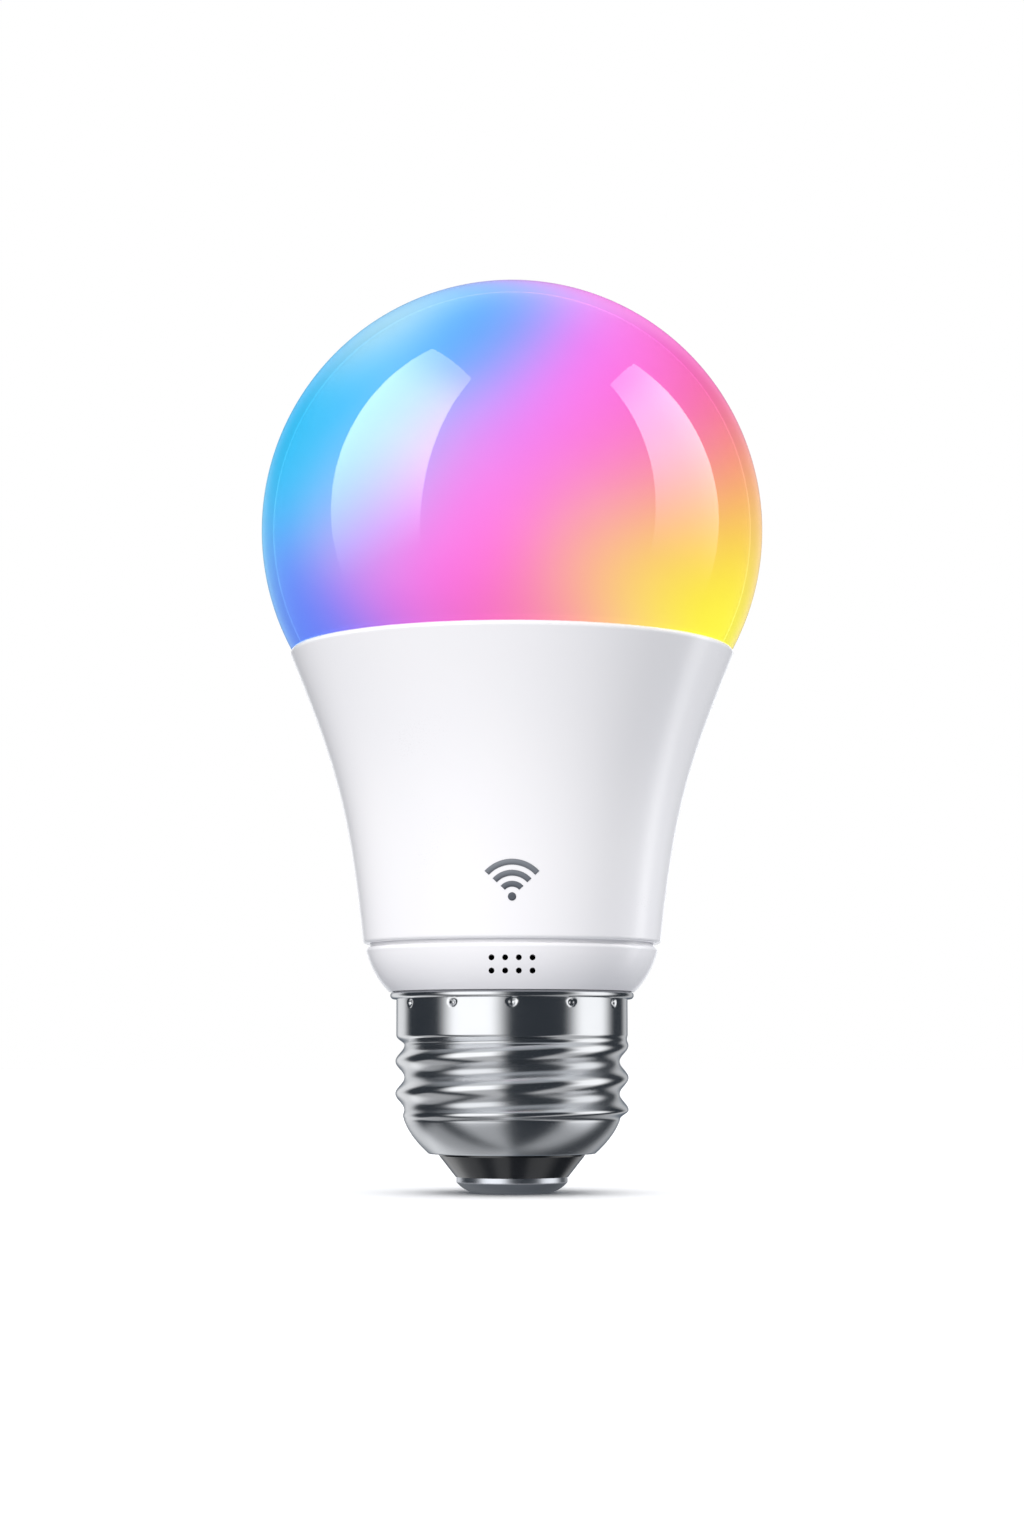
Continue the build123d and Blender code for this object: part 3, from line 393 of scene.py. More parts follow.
def ink_finish():
    """Grey printing ink, a little darker at the foot of the mark."""
    f = new_finish("grey printing ink")
    z = f.axes()[2]
    fade = z.ease(mark_low, mark_high)
    speck = f.noise(9000.0, 3.0)
    ink = f.mix(fade, (0.085, 0.095, 0.115), (0.20, 0.215, 0.24))
    return f.surface(
        base_color=f.mix(speck * 0.25, ink, (0.13, 0.14, 0.16)),
        roughness=0.32 + 0.14 * speck,
        normal=f.bump(speck, 0.004 * mm, 0.3),
    )


# ---------------------------------------------------------------- finishes inside the bulb
def moulded(name, dark, light, rough, clouds=300.0, pit_depth=0.01 * mm):
    """A moulded plastic, rubber or ceramic: two close shades, uneven gloss and fine pits."""
    f = new_finish(name)
    cloud = f.noise(clouds, 4.0)
    pits = f.noise(6000.0, 3.0)
    return f.surface(
        base_color=f.mix(cloud, dark, light),
        roughness=rough + 0.12 * cloud + 0.06 * pits,
        normal=f.bump(pits, pit_depth, 0.4),
    )


def plated(name, dark, light, rough, along_z=4000.0):
    """A drawn or plated metal with fine lines round its length."""
    f = new_finish(name)
    x, y, z = f.axes()
    lines = f.noise(1.0, 4.0, 0.65, f.vector(x * 500.0, y * 500.0, z * along_z))
    blotch = f.noise(400.0, 4.0)
    return f.surface(
        base_color=f.mix(blotch, dark, light),
        metallic=1.0,
        roughness=rough + 0.14 * lines + 0.05 * blotch,
        normal=f.bump(lines, 0.006 * mm, 0.4),
    )


def printed_board(name, mask, trace, across):
    """Solder mask over copper tracks: lighter, slightly raised lines on a grid in millimetres."""
    f = new_finish(name)
    x, y, z = f.axes()
    u = x / mm
    v = (z if across == "z" else y) / mm
    block = f.node(
        "TexVoronoi",
        {"feature": "DISTANCE_TO_EDGE", "distance": "EUCLIDEAN"},
        {"Vector": f.vector(u * 0.32, v * 0.32, 0.0), "Scale": 1.0, "Randomness": 0.35},
    )
    track_pitch = 1.27
    lines_u = (u / track_pitch).part() - 0.5
    lines_v = (v / track_pitch).part() - 0.5
    near_u = lines_u.size().ease(0.16, 0.10)
    near_v = lines_v.size().ease(0.16, 0.10)
    patch = f.noise(120.0, 1.0).ease(0.47, 0.53)
    tracks = near_u * patch + near_v * (1 - patch)
    pour = block.ease(0.05, 0.09)
    weave = f.noise(2600.0, 2.0)
    copper = (tracks * pour).at_most(1.0)
    colour = f.mix(copper * 0.8, mask, trace)
    colour = f.mix(weave * 0.12, colour, (0.55, 0.55, 0.45))
    return f.surface(
        base_color=colour,
        roughness=0.30 + 0.15 * weave,
        coat_weight=0.3,
        normal=f.bump(copper, 0.035 * mm, 0.6),
    )


def wound(name, dark, light, turns_per_mm, axis, metallic):
    """Turns of wire or tape laid side by side along one axis."""
    f = new_finish(name)
    run = f.axes()["xyz".index(axis)]
    turn = (run * (1000.0 * turns_per_mm * 2 * pi)).wave() * 0.5 + 0.5
    wander = f.noise(900.0, 3.0)
    return f.surface(
        base_color=f.mix(turn, dark, light),
        metallic=metallic,
        roughness=0.26 + 0.2 * wander,
        normal=f.bump(turn + 0.4 * wander, 0.12 * mm, 0.8),
    )


def can_finish():
    """A shrink sleeve with a pale dashed stripe down it, and tinned leads."""
    f = new_finish("capacitor sleeve")
    x, y, z = f.axes()
    gloss = f.noise(700.0, 3.0)
    stripe = (x + 4.4 * mm).size().ease(0.7 * mm, 0.5 * mm) * y.ease(-6 * mm, -7 * mm)
    dashes = ((z * 400.0).part() - 0.5).size().ease(0.34, 0.28)
    sleeve = f.mix(gloss, (0.012, 0.016, 0.05), (0.02, 0.028, 0.075))
    sleeve = f.mix((stripe * dashes).at_most(1.0), sleeve, (0.55, 0.57, 0.6))
    lead = y.above(-0.45 * mm)
    sleeve = f.mix(lead, sleeve, (0.62, 0.63, 0.64))
    return f.surface(
        base_color=sleeve,
        metallic=lead,
        roughness=0.28 + 0.14 * gloss,
        normal=f.bump(gloss, 0.03 * mm, 0.3),
    )


def leaded(name, dark, light, rough, lead_from):
    """A coated part whose leads, in front of lead_from along y, are tinned."""
    f = new_finish(name)
    y = f.axes()[1]
    cloud = f.noise(800.0, 4.0, distortion=0.5)
    pits = f.noise(5000.0, 2.0)
    lead = y.ease(lead_from, lead_from - 0.1 * mm)
    coat = f.mix(cloud, dark, light)
    return f.surface(
        base_color=f.mix(lead, coat, (0.62, 0.63, 0.64)),
        metallic=lead,
        roughness=rough + 0.15 * cloud,
        normal=f.bump(pits, 0.02 * mm, 0.35, f.bump(cloud, 0.05 * mm, 0.3)),
    )


def aluminium_finish():
    """Drawn sheet: spun lines round the axis on the deck and draw lines down the skirt."""
    f = new_finish("drawn aluminium")
    radius, turn, z = f.round_axis()
    spun = f.noise(1.0, 4.0, 0.6, f.vector(radius * 9000.0, z * 200.0, turn * 1.5))
    drawn = f.noise(1.0, 4.0, 0.6, f.vector(turn * 160.0, z * 160.0, 0.0))
    blotch = f.noise(180.0, 4.0)
    lines = spun * 0.5 + drawn * 0.5
    return f.surface(
        base_color=f.mix(blotch, (0.66, 0.67, 0.69), (0.76, 0.77, 0.785)),
        metallic=1.0,
        roughness=0.28 + 0.16 * lines,
        normal=f.bump(lines, 0.01 * mm, 0.5),
    )


def resin_window_finish():
    """Clear resin over red and blue dies."""
    f = new_finish("colour package resin")
    x, y = f.axes()[:2]
    ripple = f.noise(1500.0, 3.0)
    die = f.node(
        "TexVoronoi",
        {"feature": "F1"},
        {"Vector": f.vector(x * 900.0, y * 900.0, 0.0), "Scale": 1.0},
        output="Color",
    )
    pick = f.node("SeparateColor", inputs={0: die})
    colour = f.mix(pick, (0.10, 0.22, 0.80), (0.75, 0.12, 0.10))
    colour = f.mix(ripple.ease(0.45, 0.6), colour, (0.60, 0.66, 0.66))
    return f.surface(
        base_color=colour,
        roughness=0.08 + 0.1 * ripple,
        coat_weight=0.8,
        normal=f.bump(ripple, 0.03 * mm, 0.3),
    )


def chip_finish():
    """Moulding compound on the bodies, and tin on the legs that reach back to the board."""
    f = new_finish("chip bodies and legs")
    y = f.axes()[1]
    speck = f.noise(5200.0, 3.0)
    cloud = f.noise(700.0, 3.0)
    leg = y.ease(board_high.y + 0.12 * mm, board_high.y + 0.05 * mm)
    body = f.mix(speck, (0.014, 0.014, 0.016), (0.036, 0.036, 0.04))
    return f.surface(
        base_color=f.mix(leg, body, (0.60, 0.61, 0.62)),
        metallic=leg,
        roughness=0.42 + 0.18 * cloud,
        normal=f.bump(speck, 0.012 * mm, 0.5),
    )


# ---------------------------------------------------------------- turned pieces
def turned(name, rows, sides, crease=40):
    """A closed ring-shaped skin: each row is a height and a radius that may change round it.

    A radius of 0 closes the skin at the axis. The last row joins the first.
    """
    build = bmesh.new()
    rings = []
    for z, radius in rows:
        if radius == 0:
            rings.append([build.verts.new((0, 0, z))])
            continue
        ring = []
        for i in range(sides):
            angle = 2 * pi * i / sides
            r = radius(angle) if callable(radius) else radius
            ring.append(build.verts.new((r * cos(angle), r * sin(angle), z)))
        rings.append(ring)
    for near, far in zip(rings, rings[1:] + rings[:1]):
        for i in range(sides):
            j = (i + 1) % sides
            if len(near) > 1 and len(far) > 1:
                build.faces.new((near[i], near[j], far[j], far[i]))
            elif len(near) > 1:
                build.faces.new((near[i], near[j], far[0]))
            elif len(far) > 1:
                build.faces.new((near[0], far[j], far[i]))
    bmesh.ops.recalc_face_normals(build, faces=build.faces)
    mesh = bpy.data.meshes.new(name)
    build.to_mesh(mesh)
    build.free()
    for face in mesh.polygons:
        face.use_smooth = True
    mesh.set_sharp_from_angle(angle=radians(crease))
    piece = bpy.data.objects.new(name, mesh)
    bpy.context.scene.collection.objects.link(piece)
    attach(piece, "root")
    return piece


def ball_rows(radius, low_z, count, top_first=False):
    """Rows up a ball about the globe's middle, from a height to its top."""
    low_angle = asin((low_z - globe_centre.z) / radius)
    rows = []
    for i in range(count + 1):
        angle = low_angle + (pi / 2 - low_angle) * i / count
        across = radius * cos(angle) if i < count else 0
        rows.append((globe_centre.z + radius * sin(angle), across))
    return rows[::-1] if top_first else rows


def arc_rows(middle_r, middle_z, radius, start, end, count):
    """Rows round a small arc of the outline, by angles in degrees from straight out."""
    rows = []
    for i in range(count + 1):
        angle = radians(start + (end - start) * i / count)
        rows.append((middle_z + radius * sin(angle), middle_r + radius * cos(angle)))
    return rows


gap_radius = globe_radius - 1.3 * mm
diffuser_wall = 1.2 * mm
neck_radius = 22.5 * mm
neck_step = 0.6 * mm
bore_radius = 21.3 * mm
snap_ring = 0.35 * mm
globe_sides = 256
globe_rows = 110


def build_globe():
    """The clear layer and the milky diffuser inside it, as smooth balls with the CAD's outline."""
    seam = globe_low.z
    outer = ball_rows(globe_radius, seam, globe_rows)
    gap = ball_rows(gap_radius, seam, globe_rows, top_first=True)
    clear = turned("globe_cover", outer + gap, globe_sides)
    clear.data.materials.append(clear_finish())
    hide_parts("globe_clear_layer")

    diffuser_low, diffuser_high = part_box("globe_diffuser")
    inner_radius = diffuser_high.x - diffuser_wall
    neck_join_z = globe_centre.z - sqrt(inner_radius**2 - bore_radius**2)
    step_z = diffuser_low.z + 1.2 * mm
    snap_z = seam - 1.4 * mm
    milky_rows = (
        ball_rows(diffuser_high.x, seam, globe_rows)
        + ball_rows(inner_radius, neck_join_z, 60, top_first=True)
        + [(diffuser_low.z, bore_radius), (diffuser_low.z, neck_radius - neck_step)]
        + [(step_z, neck_radius - neck_step), (step_z, neck_radius)]
        + arc_rows(neck_radius, snap_z, snap_ring, -90, 90, 10)
        + [(seam, neck_radius)]
    )
    milky = turned("globe_core", milky_rows, globe_sides)
    milky.data.materials.append(milky_finish())
    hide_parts("globe_diffuser")
    return [clear, milky]


# ---------------------------------------------------------------- screw cap
sheet = 0.4 * mm
thread_pitch = 25.4 / 7 * mm
thread_major = 13.15 * mm
thread_minor = 12.15 * mm
thread_mean = (thread_major + thread_minor) / 2
thread_fade = 1.15 * mm
thread_start = radians(244)
cone_top = cap_low.z + 3.7 * mm
cone_foot = 9.4 * mm
cone_bulge = 0.35 * mm
cap_hole = 8.2 * mm
thread_top = cone_top + 9.6 * mm
skirt_radius = 13.07 * mm
rim_radius = 0.42 * mm
rim_z = cap_high.z - rim_radius
rim_ring = cap_high.x - rim_radius
stakes = 12
stake_z = rim_z - 1.0 * mm
stake_reach = 0.48 * mm
stake_depth = 0.38 * mm
cap_sides = 400
thread_rows = 104
skirt_rows = 40


def smooth_share(share):
    share = min(max(share, 0.0), 1.0)
    return share * share * (3 - 2 * share)


def thread_row(z, inset):
    """The radius round the cap at a height of its round thread, drawn in by the sheet."""
    from_below = smooth_share((z - cone_top) / thread_fade)
    from_above = smooth_share((thread_top - z) / thread_fade)
    offset = (thread_major - thread_minor) / 2 * from_below * from_above
    base = thread_mean
    base += (thread_minor - thread_mean) * (1 - from_below)
    base += (skirt_radius - thread_mean) * (1 - from_above)
    phase = 2 * pi * (z - cone_top) / thread_pitch + thread_start

    def radius(angle):
        turn = angle - phase
        across = offset * sin(turn)
        return offset * cos(turn) + sqrt((base - inset) ** 2 - across**2)

    return z, radius


def skirt_row(z, inset):
    """The radius round the skirt, with its punched stakes, narrower at the foot, pushed in."""

    def radius(angle):
        step = 2 * pi / stakes
        nearest = (angle + pi / 2) / step
        aside = (nearest - round(nearest)) * step * skirt_radius / stake_reach
        above = (z - stake_z) / stake_reach
        taper = 1 + 0.45 * max(-1.5, min(above, 1.5))
        away = hypot(aside / taper, above)
        return skirt_radius - inset - stake_depth * smooth_share(1.12 - away)

    return z, radius


def cone_rows(inset, bottom_z, count):
    """Rows up the rounded cone, from its lip to the thread's root."""
    top_r = thread_minor - inset
    low_r = cone_foot - inset
    rows = []
    for i in range(count + 1):
        t = i / count
        straight = low_r + (top_r - low_r) * t
        bulge = cone_bulge * 4 * t * (1 - t)
        rows.append((bottom_z + (cone_top - bottom_z) * t, straight + bulge))
    return rows


def steps_up(low, high, count):
    """Heights in even steps, without the lowest."""
    return [low + (high - low) * i / count for i in range(1, count + 1)]


def build_cap():
    """The screw cap as one folded sheet: lip, cone, thread, staked skirt and rolled rim."""
    heights = steps_up(cone_top, thread_top, thread_rows)
    skirt_heights = steps_up(thread_top, rim_z - rim_radius, skirt_rows)
    outside = cone_rows(0, cap_low.z, 24)
    outside += [thread_row(z, 0) for z in heights]
    outside += [skirt_row(z, 0) for z in skirt_heights]
    outside += arc_rows(rim_ring, rim_z, rim_radius, -90, 90, 14)
    # the hidden inside needs fewer rows
    inside = [skirt_row(cap_high.z, sheet)]
    inside += [skirt_row(z, sheet) for z in skirt_heights[::-3]]
    inside += [thread_row(z, sheet) for z in heights[::-4]]
    inside += cone_rows(sheet, cap_low.z + sheet, 12)[::-1]
    hole = [(cap_low.z + sheet, cap_hole), (cap_low.z, cap_hole)]
    cap = turned("screw_cap", outside + inside + hole, cap_sides, 55)
    cap.data.materials.append(nickel_finish())
    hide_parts("screw_shell")
    return cap


globe_pieces = build_globe()
cap_piece = build_cap()

# ---------------------------------------------------------------- printed mark
mark_low = housing_low.z + 4.0 * mm
mark_high = mark_low + 4.6 * mm
mark_foot = mark_low + 0.45 * mm
line_width = 0.62 * mm
dot_radius = 0.72 * line_width
dot_sides = 28
first_arc = 1.05 * mm
arc_step = 1.18 * mm
arc_reach = radians(47)
ink_lift = 0.025 * mm
ink_thickness = 0.04 * mm


def housing_surface():
    mesh = nodes["housing_shell"].data
    points = [v.co.copy() for v in mesh.vertices]
    return BVHTree.FromPolygons(points, [tuple(p.vertices) for p in mesh.polygons])


def on_housing(tree, x, z):
    """The point just off the housing's front at x across and z up."""
    start = Vector((x, housing_low.y - 20 * mm, z))
    hit, normal, index, distance = tree.ray_cast(start, Vector((0, 1, 0)))
    outward = normal if normal.y < 0 else -normal
    return hit + outward * ink_lift


def printed_mark():
    """Three arcs over a dot, the plain sign for a wireless link, as a thin film of ink."""
    tree = housing_surface()
    build = bmesh.new()

    def spot(radius, angle):
        """A point of the mark, from the dot's middle, with the angle from straight up."""
        x = radius * sin(angle)
        z = mark_foot + radius * cos(angle)
        return build.verts.new(on_housing(tree, x, z))

    middle = spot(0, 0)
    angles = [2 * pi * i / dot_sides for i in range(dot_sides)]
    inner = [spot(dot_radius / 2, angle) for angle in angles]
    outer = [spot(dot_radius, angle) for angle in angles]
    for i in range(dot_sides):
        j = (i + 1) % dot_sides
        build.faces.new((middle, inner[i], inner[j]))
        build.faces.new((inner[i], outer[i], outer[j], inner[j]))

    for arc in range(3):
        low = first_arc + arc_step * arc
        steps = 24 + 12 * arc
        rows = []
        for i in range(steps + 1):
            angle = arc_reach * (2 * i / steps - 1)
            rows.append([spot(low + line_width * across, angle) for across in (0, 0.5, 1)])
        for near, far in zip(rows, rows[1:]):
            for a, b in ((0, 1), (1, 2)):
                build.faces.new((near[a], near[b], far[b], far[a]))

    mesh = bpy.data.meshes.new("printed_mark")
    build.to_mesh(mesh)
    build.free()
    piece = bpy.data.objects.new("printed_mark", mesh)
    bpy.context.scene.collection.objects.link(piece)
    film = piece.modifiers.new("film", "SOLIDIFY")
    film.thickness = ink_thickness
    film.offset = 0.0
    mesh.materials.append(ink_finish())
    for face in mesh.polygons:
        face.use_smooth = True
    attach(piece, "root")


printed_mark()

# ---------------------------------------------------------------- finishes on the model's nodes
white = white_plastic_finish()
packages = moulded("package ceramic", (0.70, 0.70, 0.67), (0.80, 0.80, 0.78), 0.35)
connector = moulded("black connector", (0.012, 0.012, 0.013), (0.03, 0.03, 0.032), 0.42)
ferrite = moulded("sintered ferrite", (0.025, 0.025, 0.028), (0.055, 0.055, 0.06), 0.5, 900.0)
pins = plated("plated pins", (0.70, 0.52, 0.24), (0.83, 0.66, 0.36), 0.2)
lead_limit = board_high.y + 0.15 * mm

finishes = {
    "globe_sealant": moulded("silicone bead", (0.62, 0.62, 0.60), (0.78, 0.78, 0.76), 0.4),
    "housing_shell": white,
    "base_collar": white,
    "base_insulator": insulator_finish(),
    "centre_contact": contact_finish(),
    "heat_sink_cup": aluminium_finish(),
    "thermal_pad": moulded("gap pad", (0.25, 0.32, 0.40), (0.34, 0.41, 0.48), 0.6, 900.0),
    "led_board": printed_board("white light board", (0.80, 0.81, 0.80), (0.66, 0.68, 0.66), "y"),
    "cool_white_leds": packages,
    "warm_white_leds": packages,
    "colour_leds": packages,
    "cool_white_phosphor": moulded(
        "pale phosphor", (0.80, 0.72, 0.22), (0.88, 0.82, 0.36), 0.5, 2500.0
    ),
    "warm_white_phosphor": moulded(
        "amber phosphor", (0.86, 0.42, 0.06), (0.92, 0.55, 0.12), 0.5, 2500.0
    ),
    "colour_led_windows": resin_window_finish(),
    "board_screws": plated("zinc plated steel", (0.55, 0.56, 0.58), (0.70, 0.71, 0.72), 0.25),
    "driver_sleeve": moulded(
        "natural white moulding", (0.70, 0.69, 0.64), (0.78, 0.77, 0.73), 0.45, 200.0
    ),
    "driver_board": printed_board(
        "green driver board", (0.01, 0.09, 0.035), (0.03, 0.2, 0.08), "z"
    ),
    "wireless_board": printed_board(
        "black module board", (0.01, 0.012, 0.02), (0.05, 0.06, 0.09), "z"
    ),
    "bulk_capacitor": can_finish(),
    "output_capacitor": can_finish(),
    "choke_core": ferrite,
    "transformer_core": ferrite,
    "choke_winding": wound("choke wire", (0.28, 0.09, 0.02), (0.80, 0.36, 0.12), 2.2, "z", 1.0),
    "transformer_winding": wound(
        "winding tape", (0.55, 0.36, 0.02), (0.85, 0.62, 0.06), 0.7, "z", 0.0
    ),
    "transformer_bobbin": moulded("bobbin", (0.012, 0.012, 0.012), (0.03, 0.028, 0.026), 0.45),
    "transformer_pins": pins,
    "header_pins": pins,
    "wireless_pins": pins,
    "header_strip": connector,
    "wireless_pin_strip": connector,
    "led_board_socket": connector,
    "fuse_resistor": leaded(
        "lacquered resistor", (0.16, 0.32, 0.24), (0.24, 0.42, 0.33), 0.3, lead_limit
    ),
    "varistor": leaded("varistor coat", (0.02, 0.07, 0.28), (0.03, 0.11, 0.38), 0.25, lead_limit),
    "film_capacitor": leaded(
        "film capacitor case", (0.52, 0.16, 0.015), (0.65, 0.23, 0.03), 0.3, lead_limit
    ),
    "bridge_rectifier": chip_finish(),
    "led_driver_chip": chip_finish(),
    "chip_resistors": chip_finish(),
    "wireless_shield_can": plated("tinned shield", (0.55, 0.56, 0.57), (0.68, 0.69, 0.70), 0.28),
    "wireless_antenna": plated("antenna track", (0.70, 0.45, 0.18), (0.82, 0.58, 0.28), 0.22),
    "live_lead": moulded("red insulation", (0.42, 0.015, 0.012), (0.55, 0.03, 0.025), 0.38),
    "neutral_lead": moulded("white insulation", (0.72, 0.72, 0.70), (0.82, 0.82, 0.80), 0.38),
    "neutral_solder": plated("solder", (0.50, 0.51, 0.52), (0.62, 0.63, 0.64), 0.2),
}
for name, finish in finishes.items():
    nodes[name].data.materials.clear()
    nodes[name].data.materials.append(finish)

# ---------------------------------------------------------------- studio
scene = bpy.context.scene
scene.view_settings.view_transform = "Standard"
scene.view_settings.look = "None"
white_pieces = [nodes["housing_shell"], nodes["base_collar"]]
foot_pieces = [nodes["centre_contact"], nodes["base_insulator"]]
cap_pieces = [cap_piece] + foot_pieces
bulb_pieces = [piece for piece in bpy.data.objects if piece.type == "MESH"]


def plain_mesh(name, points, faces):
    mesh = bpy.data.meshes.new(name)
    mesh.from_pydata(points, [], faces)
    made = bpy.data.objects.new(name, mesh)
    scene.collection.objects.link(made)
    return made


def floor_finish():
    f = new_finish("pale floor")
    cloud = f.noise(3.0, 2.0)
    return f.surface(
        base_color=f.mix(cloud, (0.93, 0.93, 0.935), (0.95, 0.95, 0.955)), roughness=0.6
    )


floor_reach = 4.0
floor = plain_mesh(
    "floor",
    [(x * floor_reach, y * floor_reach, 0) for x, y in ((-1, -1), (1, -1), (1, 1), (-1, 1))],
    [(0, 1, 2, 3)],
)
floor.data.materials.append(floor_finish())
floor.visible_glossy = False
floor.visible_transmission = False
floor.visible_diffuse = False


def keep_for(lamp, pieces):
    """Lets a lamp light only these pieces."""
    group = bpy.data.collections.new(lamp.name + "_parts")
    for piece in pieces:
        group.objects.link(piece)
    lamp.light_linking.receiver_collection = group


def glowing_only(obj, f, light, pieces):
    """A see-through glowing finish that shows in gloss alone, and only on these pieces."""
    clear = f.node("BsdfTransparent")
    shown = f.node("AddShader", inputs={0: clear, 1: light})
    f.node("OutputMaterial", inputs={0: shown})
    obj.data.materials.append(f.owner)
    obj.visible_camera = False
    obj.visible_diffuse = False
    obj.visible_shadow = False
    obj.visible_transmission = False
    keep_for(obj, pieces)


def soft_box(name, middle, facing, lean, width, height, glow, pieces, edge):
    """A tall soft box that faces the bulb, brightest at its middle and faded at its foot.

    It is turned by facing and leans by lean degrees, and its sides fade over the width of edge.
    """
    turn = radians(facing)
    across = Vector((cos(turn), sin(turn), 0))
    inward = Vector((-sin(turn), cos(turn), 0))
    up = Vector((0, 0, 1)) * cos(radians(lean)) + inward * sin(radians(lean))
    middle = Vector(middle)
    corners = []
    for a, b in ((-1, -1), (1, -1), (1, 1), (-1, 1)):
        corners.append(middle + across * (a * width / 2) + up * (b * height / 2))
    card = plain_mesh(name, corners, [(0, 1, 2, 3)])
    f = new_finish(name + " light")
    apart = f.node("VectorMath", {"operation": "SUBTRACT"}, {0: f.point(), 1: tuple(middle)})
    rise = f.node("VectorMath", {"operation": "DOT_PRODUCT"}, {0: apart, 1: tuple(up)}, 1)
    side = f.node("VectorMath", {"operation": "DOT_PRODUCT"}, {0: apart, 1: tuple(across)}, 1)
    share = rise / height + 0.5
    strength = share.ease(0.0, 0.5) * (1 - 0.55 * share.ease(0.6, 1.0))
    strength = strength * side.size().ease(width / 2, width / 2 - edge)
    light = f.node("Emission", inputs={0: (1.0, 1.0, 1.0), 1: strength * glow})
    glowing_only(card, f, light, pieces)


def azimuth_of(f, east, north):
    """Degrees round the axis from the front, to the right, of a direction."""
    return f.node("Math", {"operation": "ARCTAN2"}, {0: east, 1: -north}) * (180 / pi)


def band(azimuth, low, high, soft):
    return azimuth.ease(low - soft, low + soft) * azimuth.ease(high + soft, high - soft)


# each box's middle, turn, lean, width, height and glow, and how wide its sides fade
crisp = 0.004
soft_box("left_soft_box", (-0.26, -0.16, 0.29), -74, 11, 0.30, 0.69, 7.5, globe_pieces, crisp)
soft_box("right_soft_box", (0.352, -0.041, 0.29), 90, -3, 0.247, 0.64, 5.8, globe_pieces, crisp)
soft_box("edge_soft_box", (0.5, 0.22, 0.05), 114, 0, 0.22, 0.9, 1.6, white_pieces, 0.09)
soft_box("rear_soft_box", (0, 0.6, 0.35), 0, 0, 0.5, 1.6, 1.6, white_pieces, 0.08)


def strip_light():
    """Strips of light all round the metal, by degrees from the front, fading above and below."""
    f = new_finish("strip bowl light")
    east, north, up = f.axes()
    azimuth = azimuth_of(f, east, north)
    left = 1.42 * band(azimuth, -68, -11, 12)
    right = 1.3 * band(azimuth, 63, 109, 12)
    rear = 0.9 * (band(azimuth, -160, -129, 9) + 0.6 * band(azimuth, 144, 162, 7))
    low_share = 0.4 + 0.6 * up.ease(-0.7, -0.3)
    high_share = 1 - 0.75 * up.ease(0.35, 0.75)
    overhead = 0.3 * up.ease(0.45, 0.8)
    low_left = 0.45 * up.ease(-0.35, -0.5) * azimuth.ease(-85, -105)
    strength = (left + right + rear) * low_share * high_share + overhead + low_left
    return f, f.node("Emission", inputs={0: (1.0, 1.0, 1.0), 1: strength})


build = bmesh.new()
bmesh.ops.create_icosphere(build, subdivisions=4, radius=0.9)
strip_bowl = plain_mesh("strip_bowl", [], [])
build.to_mesh(strip_bowl.data)
build.free()
glowing_only(strip_bowl, *strip_light(), cap_pieces)
strip_bowl.data.materials[0].cycles.emission_sampling = "NONE"


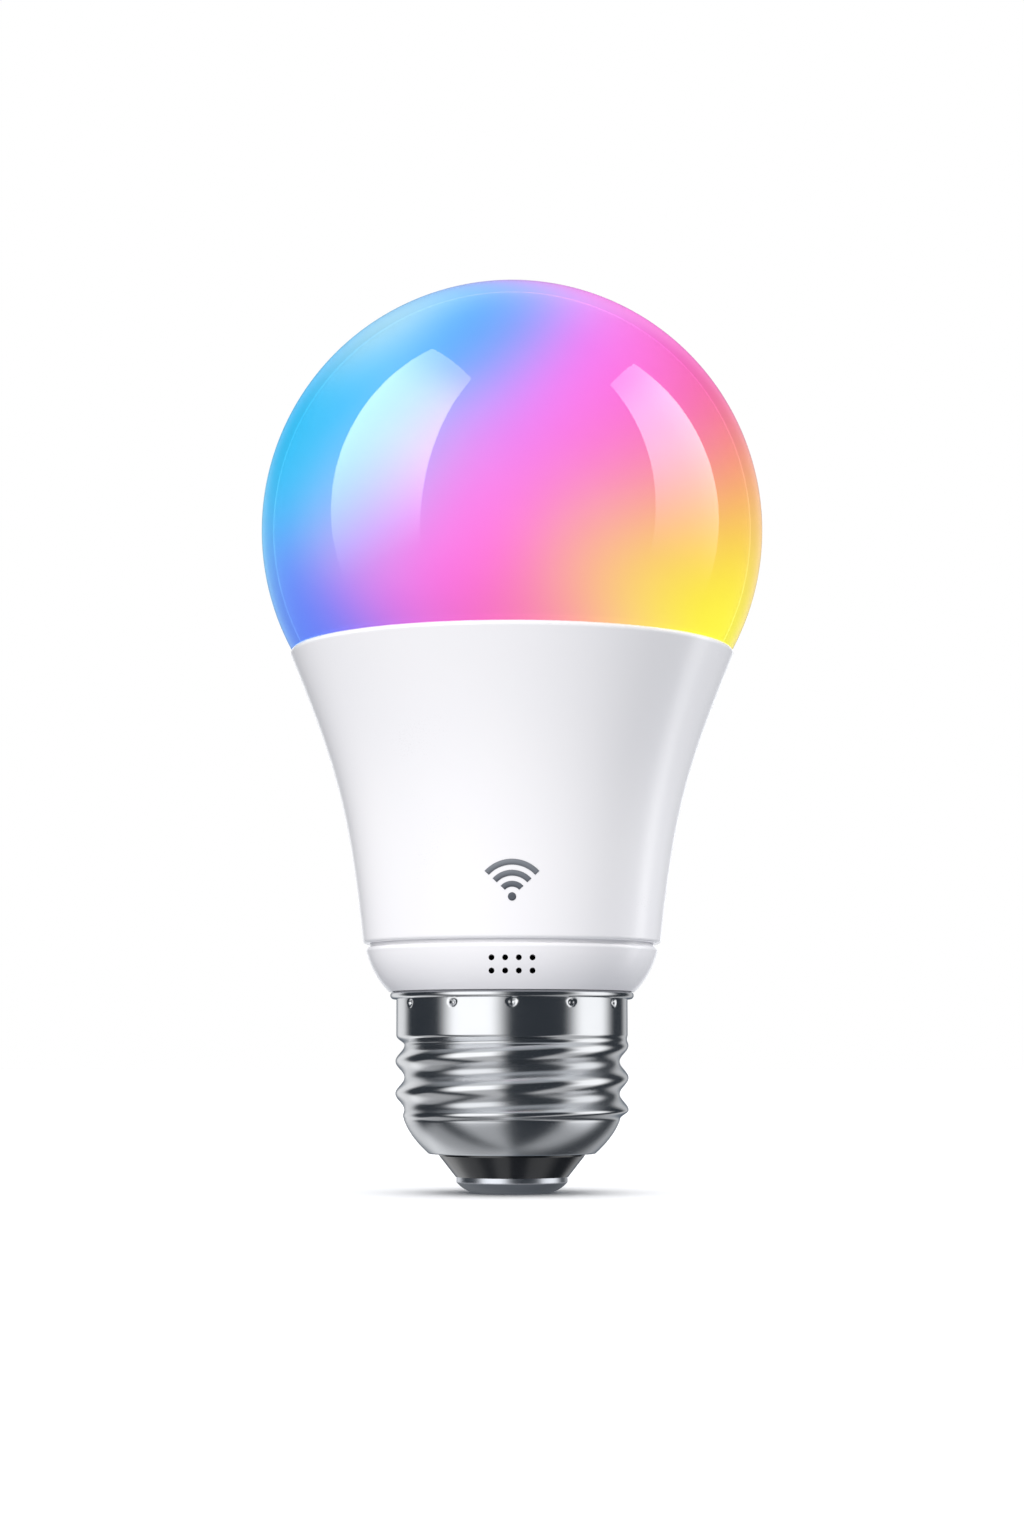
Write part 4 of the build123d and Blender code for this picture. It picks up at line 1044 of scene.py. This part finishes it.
def room():
    """White to the camera, evenly lit on matt surfaces, and dim and bluish in the gloss."""
    f = Finish(bpy.data.worlds.new("studio"))
    scene.world = f.owner
    east, north, up = f.axes(f.node("TexCoord", output="Generated"))
    behind = azimuth_of(f, east, north).size().ease(152, 168)
    ceiling = up.ease(0.55, 0.9)
    dim = 0.05 + 0.12 * behind * (1 - ceiling) + 0.12 * ceiling
    even = 0.38 + 0.33 * up.ease(0.1, -0.5)
    in_gloss = f.node("Background", inputs={0: (0.76, 0.90, 1.08), 1: dim})
    on_matt = f.node("Background", inputs={0: (0.925, 0.948, 1.0), 1: even})
    is_matt = f.node("LightPath", output="Is Diffuse Ray")
    lit = f.node("MixShader", inputs={0: is_matt, 1: in_gloss, 2: on_matt})
    plain = f.node("Background", inputs={0: (1.0, 1.0, 1.0), 1: 1.0})
    is_camera = f.node("LightPath", output="Is Camera Ray")
    f.node("OutputWorld", inputs={0: f.node("MixShader", inputs={0: is_camera, 1: lit, 2: plain})})


room()


def soft_sun(name, azimuth, elevation, strength, spread, pieces, shading_pieces=(), tint=(1, 1, 1)):
    """A very soft distant light on some pieces, with no reflection of itself.

    It stands at so many degrees round and up. Where shading_pieces are given, only they cast a
    shadow in it.
    """
    data = bpy.data.lights.new(name, "SUN")
    data.energy = strength
    data.angle = radians(spread)
    data.color = tint
    sun = bpy.data.objects.new(name, data)
    scene.collection.objects.link(sun)
    sun.rotation_euler = (radians(90 - elevation), 0, radians(azimuth))
    sun.visible_glossy = False
    sun.visible_transmission = False
    keep_for(sun, pieces)
    if shading_pieces:
        shade = bpy.data.collections.new(name + "_shade")
        for piece in shading_pieces:
            shade.objects.link(piece)
        sun.light_linking.blocker_collection = shade


# each light's degrees round and up, strength and spread in degrees
soft_sun("key_light", -21, 28, 2.78, 50, bulb_pieces, tint=(1.0, 0.982, 0.96))
soft_sun("edge_light", 126, 15, 3.6, 20, bulb_pieces)
soft_sun("back_light", -125, 15, 1.1, 20, bulb_pieces)
soft_sun("top_light", 0, 88, 1.0, 90, bulb_pieces)
soft_sun("floor_light", 0, 88, 2.3, 90, [floor], foot_pieces)
soft_sun("wide_floor_light", 0, 88, 1.4, 110, [floor], cap_pieces)

# ---------------------------------------------------------------- camera
camera_distance = 0.330
camera_height = 0.0148
camera_tilt = 5.75
camera_data = bpy.data.cameras.new("camera")
camera_data.sensor_width = 36.0
camera_data.lens = 68.1
camera_data.clip_start = 0.01
camera = bpy.data.objects.new("camera", camera_data)
camera.location = (0, -camera_distance, camera_height)
camera.rotation_euler = (radians(90 + camera_tilt), 0, 0)
scene.collection.objects.link(camera)
scene.camera = camera
